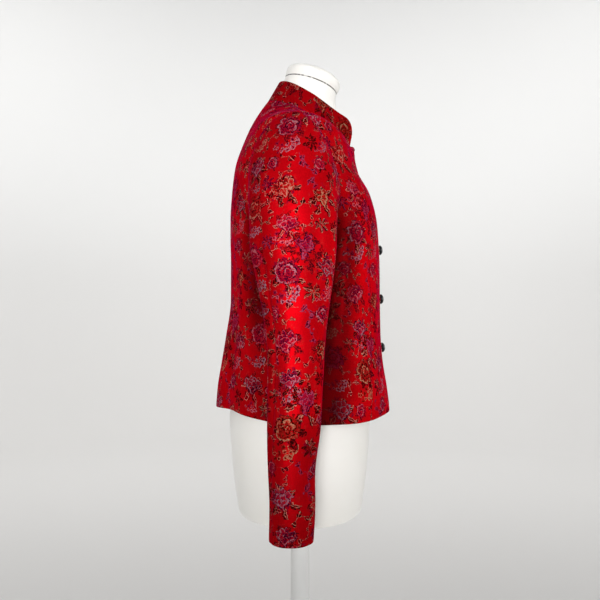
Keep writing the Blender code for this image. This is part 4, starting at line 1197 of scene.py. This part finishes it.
def floral(p, places):
    """The woven flowers of all three layers, the upper over the lower: (cover, tone, colourway number). The
    whole is bent a little by a noise."""
    *bent, patches = [value - 0.5 for value in p.flat_noises(places, 120.0, 4.0)]
    laid = []
    for layer in LAYERS:
        kind = p.node("ShaderNodeAttribute", attribute_name=layer + "_kind")
        form, index, seed = p.split(kind.outputs["Vector"])
        x, y = p.split(p.map_place(layer))[:2]
        within = p.step(p.length(x, y), 1.7, 1.6)
        amount = 0.30 if layer == "posy" else 0.42
        x, y = x + bent[0] * amount, y + bent[1] * amount
        if layer == "vine":
            drawn = [(*vine(p, x, y, seed, form), index)]
        elif layer == "posy":
            drawn = [(*posy(p, x, y, form, Field(p, kind.outputs["Alpha"])), index)]
        else:
            drawn = bloom(p, x, y, form, index, seed, patches)
        laid += [(cover * within, tone, colourway) for cover, tone, colourway in drawn]
    cover, tone, colourway = laid[0]
    for above in laid[1:]:
        cover, tone = over((cover, tone), above[:2])
        colourway = colourway + (above[2] - colourway) * p.step(above[0], 0.45, 0.55)
    return cover, tone, colourway


def brocade(p):
    """Red satin with woven flowers: coloured threads with dark outlines and light edges lie a little above
    the satin ground, whose fine rib, slight unevenness and crimson sheen at low angles show between them. It
    has painted shade where a sleeve lies by the body, on the sleeves' backs and towards the cuffs, is evenly
    darker on the collar and darker at the sewn edges, and puckers along them and along the stitched hem."""
    places = p.map_place("cloth")
    u, v, _ = p.split(places)
    breaks, holes, _ = p.flat_noises(places, 430.0, 2.0)
    cover, tone, colourway = floral(p, places)
    tone = tone + (breaks - 0.54) * 0.9
    middle = 1 - p.least(p.size(tone - 0.5) * 2.6, 1.0)
    closed = p.step(p.size(colourway - (PLUM + LEAF) / 2), 0.7, 0.6)
    threads = p.noise(p.join(u * 2600, v * 700), 1.0, 1.0)
    shown = cover * (1 - (0.68 - 0.40 * closed) * middle) * p.step(holes, 0.34, 0.44) * (0.72 + 0.5 * threads)
    dark, fill, light = (thread_ramp(p, colourway, shade) for shade in range(3))
    woven = p.blend(tone * 2 - 1, p.blend(tone * 2, dark, fill), light)
    cloudy = p.noise(places, 14.0, 3.0)
    red = finishes().ground
    ground = p.blend(p.step(cloudy, 0.35, 0.65), rgba(red, 0.80, 0.80, 0.80), rgba(red))
    colour = p.blend(shown, ground, woven)
    painted_shade_and_darkening, seam, hem = p.split(p.node("ShaderNodeAttribute", attribute_name="shade_seam_and_hem").outputs["Vector"])
    stitched = p.step(seam, 0.0016, 0.0005)
    # Painted shade by the sleeves with the collar's even darkening, mottled by the cloud noise, and the dark
    # of the sewn edges.
    darker = p.most(painted_shade_and_darkening * (0.72 + 0.30 * cloudy), stitched * 0.35)
    rib = p.sin((u * 0.5 + v) * (2 * math.pi / RIB_PITCH))
    height = cover * 0.5 + rib * 0.10 + threads * 0.25 + p.noise(places, 160.0, 2.0) * 0.6
    puckers = p.sin((u + v) * (2 * math.pi / PUCKER_PITCH) + cloudy * 30) * p.step(seam, 0.016, 0.002)
    stitches = 0.6 + 0.4 * p.sin(u * (2 * math.pi / STITCH_PITCH))
    caught = p.step(p.size(hem - STITCHED_AT), 0.0030, 0.0004) * stitches
    p.bump(height + puckers * 0.9 - stitched * 2.0 - caught * 0.8, 0.00025, 0.8)
    return p.finish(
        Base_Color=p.blend(darker, colour, (0.03, 0.0005, 0.001, 1.0)),
        Metallic=(0.50 - 0.24 * cover) * (1 - p.facing()),
        Roughness=0.49 + 0.12 * cover + 0.10 * (cloudy - 0.5),
        Specular_IOR_Level=0.0,
        Specular_Tint=(1.0, 0.02, 0.12, 1.0),
        Sheen_Weight=0.15,
        Sheen_Roughness=0.30,
        Sheen_Tint=rgba(finishes().sheen),
    )


def brocade_back(p):
    """The dull wrong side: dark red with the floats of the flowers' threads showing as faint streaks."""
    places = p.map_place("cloth")
    u, v, _ = p.split(places)
    streaks = p.noise(p.join(u * 900, v * 60), 1.0, 2.0)
    patches = p.step(p.noise(places, 26.0, 1.0), 0.45, 0.62)
    colour = p.blend(patches * streaks * 0.8, (0.14, 0.004, 0.008, 1.0), (0.20, 0.07, 0.06, 1.0))
    p.bump(streaks + p.sin(v * 2600) * 0.15, 0.0002, 0.5)
    return p.finish(Base_Color=colour, Roughness=0.78 + 0.1 * streaks, Specular_IOR_Level=0.2)


def buttonhole_silk(p):
    """Dark red silk wound round the edge of a buttonhole, with a fine twist."""
    twist = p.drawn_out_noise((2600, 900, 5200), 1.0)
    p.bump(twist, 0.0002, 0.7)
    colour = p.blend(twist, (0.12, 0.001, 0.004, 1.0), (0.36, 0.002, 0.010, 1.0))
    return p.finish(Base_Color=colour, Roughness=0.45 + 0.2 * twist, Specular_IOR_Level=0.3)


def horn(p):
    """Polished black plastic with a few fine scuffs."""
    at = p.place()
    scuffs = p.step(p.noise(at, 900.0, 3.0, 0.7), 0.62, 0.75)
    colour = p.blend(scuffs * 0.6, rgba(finishes().button), (0.03, 0.028, 0.03, 1.0))
    p.bump(p.noise(at, 400.0, 2.0), 0.0001, 0.15)
    rough = 0.20 + 0.2 * scuffs
    return p.finish(Base_Color=colour, Roughness=rough, Coat_Weight=0.08, Coat_Roughness=0.10, IOR=1.3)


def jersey(p):
    """White knitted cover: fine stitch columns, a slight nap and faint soiling, and a painted shadow, patchy
    along its length, in the seam under the neck cap, found by the distance up the neck's tilted axis."""
    at = p.place()
    x, y, z = p.split(at)
    stitches = p.sin(p.turn(x, y) * 900) * p.sin(z * 5200)
    soil = p.noise(at, 7.0, 4.0, 0.6)
    white = finishes().cover
    colour = p.blend(p.step(soil, 0.40, 0.75) * 0.35, rgba(white), rgba(white, 0.93, 0.91, 0.86))
    lean = math.radians(NECK_TILT_DEG)
    rise = (z - HEM_HEIGHT - NECK_SEAM_RISE) * math.cos(lean) - (y + NECK_SEAM_FORWARD) * math.sin(lean)
    # A painted shadow in the gap of the seam under the neck cap, made patchy by a noise.
    shadow_patchiness = p.step(p.noise(at, 170.0, 2.0), 0.34, 0.50)
    seam = p.step(p.size(rise - 0.0002), 0.0013, 0.0006) * (0.35 + 0.60 * shadow_patchiness)
    p.bump(stitches * 0.5 + p.noise(at, 500.0, 2.0) - 2.0 * seam, 0.0002, 0.4)
    return p.finish(
        Base_Color=p.blend(seam, colour, (0.05, 0.045, 0.04, 1.0)),
        Roughness=0.80 + 0.12 * (soil - 0.5),
        Specular_IOR_Level=0.25,
        Sheen_Weight=0.25,
        Sheen_Roughness=0.5,
    )


def painted_metal(p):
    """Pale powder coat: a fine orange-peel bump, faint smudges and a few worn scratches."""
    at = p.place()
    smudge = p.noise(at, 9.0, 4.0, 0.6)
    scratch = p.step(p.drawn_out_noise((260, 260, 14), 2.0), 0.70, 0.76)
    pale = finishes().metal
    colour = p.blend(p.step(smudge, 0.45, 0.8) * 0.3, rgba(pale), rgba(pale, 0.85, 0.84, 0.82))
    colour = p.blend(scratch * 0.25, colour, (0.35, 0.35, 0.36, 1.0))
    p.bump(p.noise(at, 1400.0, 2.0), 0.0001, 0.35)
    rough = 0.34 + 0.2 * (smudge - 0.5) + 0.15 * scratch
    return p.finish(Base_Color=colour, Roughness=rough, Coat_Weight=0.15, Coat_Roughness=0.25)


def matt_paper(p):
    """Matt studio paper with a faint unevenness, and painted shade: greyer on the floor, lightening up the
    wall to 2.2 m.
    """
    at = p.place()
    cloud = p.step(p.noise(at, 1.6, 3.0), 0.3, 0.7) * 0.015
    # Painted shade: darker at the floor, lightening with height up to 2.2 m.
    wall = p.step(p.split(at)[2], 0.0, 2.2)
    paper = finishes().paper
    colour = p.blend(wall - cloud, rgba(paper, 0.90, 0.89, 0.88), rgba(paper))
    p.bump(p.noise(at, 220.0, 2.0), 0.0005, 0.15)
    return p.finish(Base_Color=colour, Roughness=0.90 - cloud, Specular_IOR_Level=0.15)


FINISHES = {
    "brocade_right_side": brocade,
    "brocade_wrong_side": brocade_back,
    "buttonhole_silk_thread": buttonhole_silk,
    "polished_black": horn,
    "white_jersey": jersey,
    "pale_powder_coat": painted_metal,
    "matt_paper": matt_paper,
}


# ---------------------------------------------------------------- the pieces
def settle(piece, slot, *nodes):
    """The piece rides on the jacket's one body and stands for these solids; its slot is not used."""
    if nodes:
        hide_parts(*nodes)
    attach(piece, "root")


def spread(low, high, count):
    """Lines evenly spread from one edge to the other, with three more close to each edge for its rolled
    seam. The edges are angles, one for each row, and each line keeps its share of the way along every row."""
    fine = EDGE_LINES / LINE_DISTANCE / count
    share = np.unique([*np.linspace(0, 1, count + 1), *fine, *(1 - fine)])
    return low[:, None] * (1 - share) + high[:, None] * share


# Where each piece lies on the floral repeat: what is added to its own cloth coordinates, in metres.
CUT_FROM = {
    "front_right": (0.151, -0.075),
    "front_left": (-0.100, -0.240),
    "back": (-0.065, -0.104),
    "sleeve_right": (0.010, -0.164),
    "sleeve_left": (-0.031, -0.120),
    "collar": (0.082, 0.077),
}


def hang(piece, cloth, node, *rests_on):
    """The piece of cloth stands for this node; its cloth is not used."""
    settle(piece, "brocade", node)


def body_panel(name, body, angles, levels, mirrored=False):
    """A panel of the body whose rows stand at these levels and whose columns stand at these angles."""
    if mirrored:
        angles = -angles[:, ::-1]
    level = np.broadcast_to(levels[:, None], angles.shape)
    outer = body_point(angles, level)
    cloth = body.flat(angles, level, name == "back")
    s = sizes()
    free = (-1 if mirrored else 0) if "centre" in name else None
    sewn_columns = [edge for edge in (0, -1) if edge != free]
    dip = sum(bell(cloth[..., 0] - cloth[:, edge, None, 0], s.seam_dip_width) for edge in sewn_columns)
    lift = -s.seam_dip * (dip.clip(0, 1) + EDGE_DIP * bell(level, s.seam_dip_width))
    if name == "centre_front_right":
        lift = lift + overlap_lift(outer[..., 0], s.wall)
    normal = normal_of(body_point, angles, np.clip(level, END_MARGIN, NECK_LEVEL - END_MARGIN))
    middle = outer + normal * (lift - s.wall / 2)[..., None]
    sewn = ["top"] + [("left", "right")[edge] for edge in sewn_columns]
    hang(cloth_piece(name, middle, cloth, s.wall, sewn), cloth, name, "dress_form_cover")


class TANGJACKET_OT_body(bpy.types.Operator):
    """Makes the back, the two centre fronts and the two side fronts"""

    bl_idname = "tangjacket.body"
    bl_label = "Body panels"

    def execute(self, context):
        step = sizes().grid_step
        levels = panel_levels(step)
        low = levels <= PRINCESS_TOP
        front, back = side_edge(levels, True), side_edge(levels, False)
        outer = np.where(low, princess_edge(levels, -1), front)
        lap_edge = front_line(FRONT_OVERLAP, levels)
        lap = spread(front_line(-FRONT_OVERLAP, levels), lap_edge, round(2 * FRONT_OVERLAP / step))
        rest = spread(lap_edge, outer, round(CENTRE_FRONT_WIDTH / step))
        centre = np.concatenate([lap, rest[:, 1:]], axis=1)
        side = spread(princess_edge(levels, 1)[low], front[low], round(SIDE_FRONT_WIDTH / step))
        body = BodyCloth()
        body_panel("back", body, spread(back, 2 * math.pi - back, round(BACK_WIDTH / step)), levels)
        for name, angles, rows in (("centre_front_", centre, levels), ("side_front_", side, levels[low])):
            for side_name, mirrored in (("left", False), ("right", True)):
                body_panel(name + side_name, body, angles, rows, mirrored)
        return {"FINISHED"}


class TANGJACKET_OT_sleeves(bpy.types.Operator):
    """Makes the two sleeves"""

    bl_idname = "tangjacket.sleeves"
    bl_label = "Sleeves"

    def execute(self, context):
        s = sizes()
        middle_column = round(SLEEVE_WIDTH / 2 / s.grid_step)
        cap, tube = (np.linspace(0, 1, round(part / s.grid_step) + 1) for part in (CAP_LENGTH, TUBE_LENGTH))
        close = [*(EDGE_LINES / CAP_SHORTEST), *(2 - EDGE_LINES / TUBE_SHORTEST)]
        down = np.unique(np.round([*cap, *(1 + tube), *close], 6))[::-1]
        for name, side in (("left", 1), ("right", -1)):
            turn = math.pi - side * math.pi * np.arange(2 * middle_column + 1) / middle_column
            middle = sleeve_point(*np.meshgrid(turn, down), side)
            across = along(middle, 1)
            cloth = vectors(across - across[:, middle_column, None], along(middle, 0))
            v, width = cloth[..., 1], s.seam_dip_width
            dip = s.seam_dip * (bell(v - v[-1], width) + EDGE_DIP * bell(v, width))
            middle = middle - grid_normals(middle, False) * dip[..., None]
            sleeve = "sleeve_" + name
            piece = cloth_piece(sleeve, middle[:, :-1], cloth, s.wall, ["top", "left", "right"], closed=True)
            hang(piece, cloth, sleeve, "back_cloth", f"centre_front_{name}_cloth", f"side_front_{name}_cloth")
        return {"FINISHED"}


class TANGJACKET_OT_collar(bpy.types.Operator):
    """Makes the stand collar with its rounded ends"""

    bl_idname = "tangjacket.collar"
    bl_label = "Stand collar"

    def execute(self, context):
        wall = sizes().wall
        neck = ring_values(JACKET, NECK_LEVEL)
        top = dict(zip(RING_COLUMNS, np.array(COLLAR_TOP_RING)))
        end = math.atan2(COLLAR_END, float(neck["front_reach"] - neck["side_reach"]))
        fine = np.linspace(end, 2 * math.pi - end, 2001)
        length = along(ring_point(neck, fine), 0)
        share = np.linspace(0, 1, COLLAR_COLUMNS)
        share = share - COLLAR_BUNCH * np.sin(2 * math.pi * share)
        angle = np.interp(share * length[-1], length, fine)
        from_end = np.minimum(share, 1 - share) * length[-1]
        inside = np.clip(COLLAR_CORNER - from_end, 0, COLLAR_CORNER)
        cut_off = COLLAR_CORNER - np.sqrt(COLLAR_CORNER**2 - inside**2)
        foot = ring_point(neck, angle)
        way = ring_point(top, angle) - foot
        height = np.linalg.norm(way, axis=-1, keepdims=True)
        up = np.array([0.0, 0.015, 0.035, 0.065, *np.linspace(0.1, 0.9, 10), 0.935, 0.965, 0.985, 1.0])
        rise = COLLAR_BASE_GAP + (height[:, 0] - cut_off - COLLAR_BASE_GAP) * up[:, None]
        middle = foot + (way / height) * rise[..., None] - outwards(angle) * (COLLAR_INSET + wall / 2)
        cloth = vectors(length[-1] * (share - 0.5), rise)
        # The whole collar is made evenly darker.
        piece = cloth_piece("collar", middle, cloth, wall, ["bottom"], hemmed=False, worn=COLLAR_DARKER)
        hang(piece, cloth, "collar", "back_cloth", "centre_front_left_cloth", "centre_front_right_cloth")
        return {"FINISHED"}


class TANGJACKET_OT_buttons(bpy.types.Operator):
    """Makes the three domed buttons"""

    bl_idname = "tangjacket.buttons"
    bl_label = "Buttons"

    def execute(self, context):
        s = sizes()
        radius, foot = s.button_radius, s.shank_length
        arc = np.linspace(0, math.pi / 2, 15)[:-1]
        dome = foot + BUTTON_EDGE + (s.button_height - BUTTON_EDGE) * np.sin(arc)
        profile = [(s.shank_radius, 0.0), (s.shank_radius, foot), (0.90 * radius, foot)]
        profile += zip(radius * np.cos(arc), dome)
        for number, level in enumerate(BUTTON_LEVELS, start=1):
            at = np.array([0.0]), np.array([level])
            normal = normal_of(body_point, *at)[0]
            seat = body_point(*at)[0] + normal * (s.wall + LAYER_GAP + BUTTON_GAP)
            finish = finish_named("polished_black")
            piece = turned_object(f"button_{number}_dome", profile, finish, BUTTON_AROUND, seat, normal)
            settle(piece, "button_black", f"button_{number}")
        return {"FINISHED"}


class TANGJACKET_OT_buttonholes(bpy.types.Operator):
    """Makes the silk round the three buttonholes, on the front that laps over"""

    bl_idname = "tangjacket.buttonholes"
    bl_label = "Buttonholes"

    def execute(self, context):
        s = sizes()
        turn = circle(SILK_AROUND)
        half = s.buttonhole_length / 2
        across = BUTTONHOLE_START - half + half * np.sign(np.cos(turn)) * abs(np.cos(turn)) ** 0.5
        up = s.buttonhole_width / 2 * np.sign(np.sin(turn)) * abs(np.sin(turn)) ** 0.5
        wound = s.silk_radius * (1 + SILK_RIDGE * np.sin(turn * SILK_TURNS))
        for number, level in enumerate(BUTTON_LEVELS, start=1):
            at = front_line(across, level + up), level + up
            normal = normal_of(body_point, *at)
            surface = body_point(*at)
            line = surface + normal * (overlap_lift(surface[:, 0], s.wall) + SILK_LIFT)[:, None]
            silk = finish_named("buttonhole_silk_thread")
            settle(loop_object(f"buttonhole_{number}_silk", line, normal, wound, silk), "brocade")
        return {"FINISHED"}


class TANGJACKET_OT_dress_form(bpy.types.Operator):
    """Makes the dress form and its neck cap"""

    bl_idname = "tangjacket.dress_form"
    bl_label = "Dress form"

    def execute(self, context):
        angle = circle(FORM_AROUND)
        levels = [0.0, 0.001, 0.003, *np.linspace(0.01, NECK_LEVEL - FORM_BOTTOM, FORM_ROWS)]
        body = form_point(*np.meshgrid(angle, FORM_BOTTOM + np.array(levels)))
        neck = neck_point(*np.meshgrid(angle, np.linspace(0, 1, NECK_ROWS)[1:]))
        cover = finish_named("white_jersey")
        form = round_object("dress_form_cover", np.concatenate([body, neck]), cover)
        settle(form, "form_cover", "dress_form")
        cap = table_curves(CAP_RINGS, CAP_COLUMNS)
        a, up = np.meshgrid(angle, [*np.linspace(0, 0.015, CAP_ROWS), *CAP_RIM])
        rings = oval(a, up + SEAT_GAP, *(cap[name](up) for name in CAP_COLUMNS[1:]))
        settle(round_object("neck_cap_cover", rings, cover), "form_cover", "neck_cap")
        return {"FINISHED"}


class TANGJACKET_OT_stand(bpy.types.Operator):
    """Makes the pole and the round base"""

    bl_idname = "tangjacket.stand"
    bl_label = "Stand"

    def execute(self, context):
        s = sizes()
        metal = finish_named("pale_powder_coat")
        pole = np.linspace(s.base_thickness + SEAT_GAP, HEM_HEIGHT + FORM_BOTTOM - SEAT_GAP, 5)
        profile = [(s.pole_radius, rise) for rise in pole]
        tube = turned_object("stand_pole_tube", profile, metal, POLE_AROUND)
        settle(tube, "stand_metal", "stand_pole")
        edge, quarter = s.base_round, np.linspace(0, math.pi / 2, 6)
        sin, cos, radius = edge * np.sin(quarter), edge * np.cos(quarter), s.base_radius - edge
        lower = zip(radius + sin, edge - cos)
        upper = zip(radius + cos, s.base_thickness - edge + sin)
        plate = turned_object("stand_base_plate", [*lower, *upper], metal, BASE_AROUND)
        settle(plate, "stand_metal", "stand_base")
        return {"FINISHED"}


def lamp(name, place, aim, across, energy, beam=180):
    """A square soft lamp at place, turned towards aim, whose beam opens this many degrees."""
    data = bpy.data.lights.new(name, "AREA")
    data.shape, data.size, data.energy, data.spread = "SQUARE", across, energy, math.radians(beam)
    made = bpy.data.objects.new(name, data)
    made.location = place
    made.rotation_euler = (Vector(aim) - Vector(place)).to_track_quat("-Z", "Y").to_euler()
    bpy.context.scene.collection.objects.link(made)


class TANGJACKET_OT_studio(bpy.types.Operator):
    """Makes the pale studio, its soft light and the camera"""

    bl_idname = "tangjacket.studio"
    bl_label = "Studio"

    def execute(self, context):
        scene = context.scene
        quarter, turn = np.linspace(0, math.pi / 2, 16), circle(PAPER_AROUND)
        radius = np.append(COVE_FROM + COVE_ROUND * np.sin(quarter), COVE_FROM + COVE_ROUND)[:, None]
        rise = np.append(COVE_ROUND - COVE_ROUND * np.cos(quarter), WALL_HEIGHT)[:, None] - PAPER_DROP
        rings = vectors(radius * np.cos(turn), radius * np.sin(turn), rise)
        floor = list(range(PAPER_AROUND))
        faces = round_faces(len(rings), PAPER_AROUND, inwards=True).tolist() + [floor]
        mesh_object("studio_paper", rings.reshape(-1, 3), faces, [finish_named("matt_paper")])
        for row in LAMPS:
            lamp(*row)
        scene.world = bpy.data.worlds.new("studio_light")
        scene.world.use_nodes = True
        background = scene.world.node_tree.nodes["Background"].inputs
        background["Color"].default_value = (1.0, 1.0, 1.0, 1.0)
        background["Strength"].default_value = WORLD_STRENGTH
        camera = bpy.data.cameras.new("camera")
        camera.sensor_width, camera.lens = SENSOR_WIDTH_MM, LENS_MM
        scene.camera = bpy.data.objects.new("camera", camera)
        scene.camera.location = CAMERA_PLACE
        scene.camera.rotation_euler = [math.radians(turn) for turn in CAMERA_TURN_DEG]
        scene.collection.objects.link(scene.camera)
        scene.view_settings.view_transform = "Standard"
        return {"FINISHED"}


class TANGJACKET_PT_panel(bpy.types.Panel):
    """Lists the jacket's sizes, colours and makers"""

    bl_idname = "TANGJACKET_PT_panel"
    bl_label = "Tang Jacket"
    bl_space_type = "VIEW_3D"
    bl_region_type = "UI"
    bl_category = "Tang Jacket"

    def draw(self, context):
        column = self.layout.column()
        for group in (sizes(), finishes()):
            for name in group.__annotations__:
                column.prop(group, name)
        for operator in OPERATORS:
            column.operator(operator.bl_idname)


GROUPS = (TANGJACKET_PG_sizes, TANGJACKET_PG_finishes)
OPERATORS = (
    TANGJACKET_OT_body,
    TANGJACKET_OT_sleeves,
    TANGJACKET_OT_collar,
    TANGJACKET_OT_buttons,
    TANGJACKET_OT_buttonholes,
    TANGJACKET_OT_dress_form,
    TANGJACKET_OT_stand,
    TANGJACKET_OT_studio,
)
CLASSES = (*GROUPS, *OPERATORS, TANGJACKET_PT_panel)


def register():
    for made in CLASSES:
        bpy.utils.register_class(made)
    bpy.types.Scene.tang_jacket_sizes = bpy.props.PointerProperty(type=TANGJACKET_PG_sizes)
    bpy.types.Scene.tang_jacket_finishes = bpy.props.PointerProperty(type=TANGJACKET_PG_finishes)


def unregister():
    del bpy.types.Scene.tang_jacket_sizes
    del bpy.types.Scene.tang_jacket_finishes
    for made in reversed(CLASSES):
        bpy.utils.unregister_class(made)


def main():
    register()
    for operator in OPERATORS:
        group, name = operator.bl_idname.split(".")
        getattr(getattr(bpy.ops, group), name)()


if __name__ == "__main__":
    main()
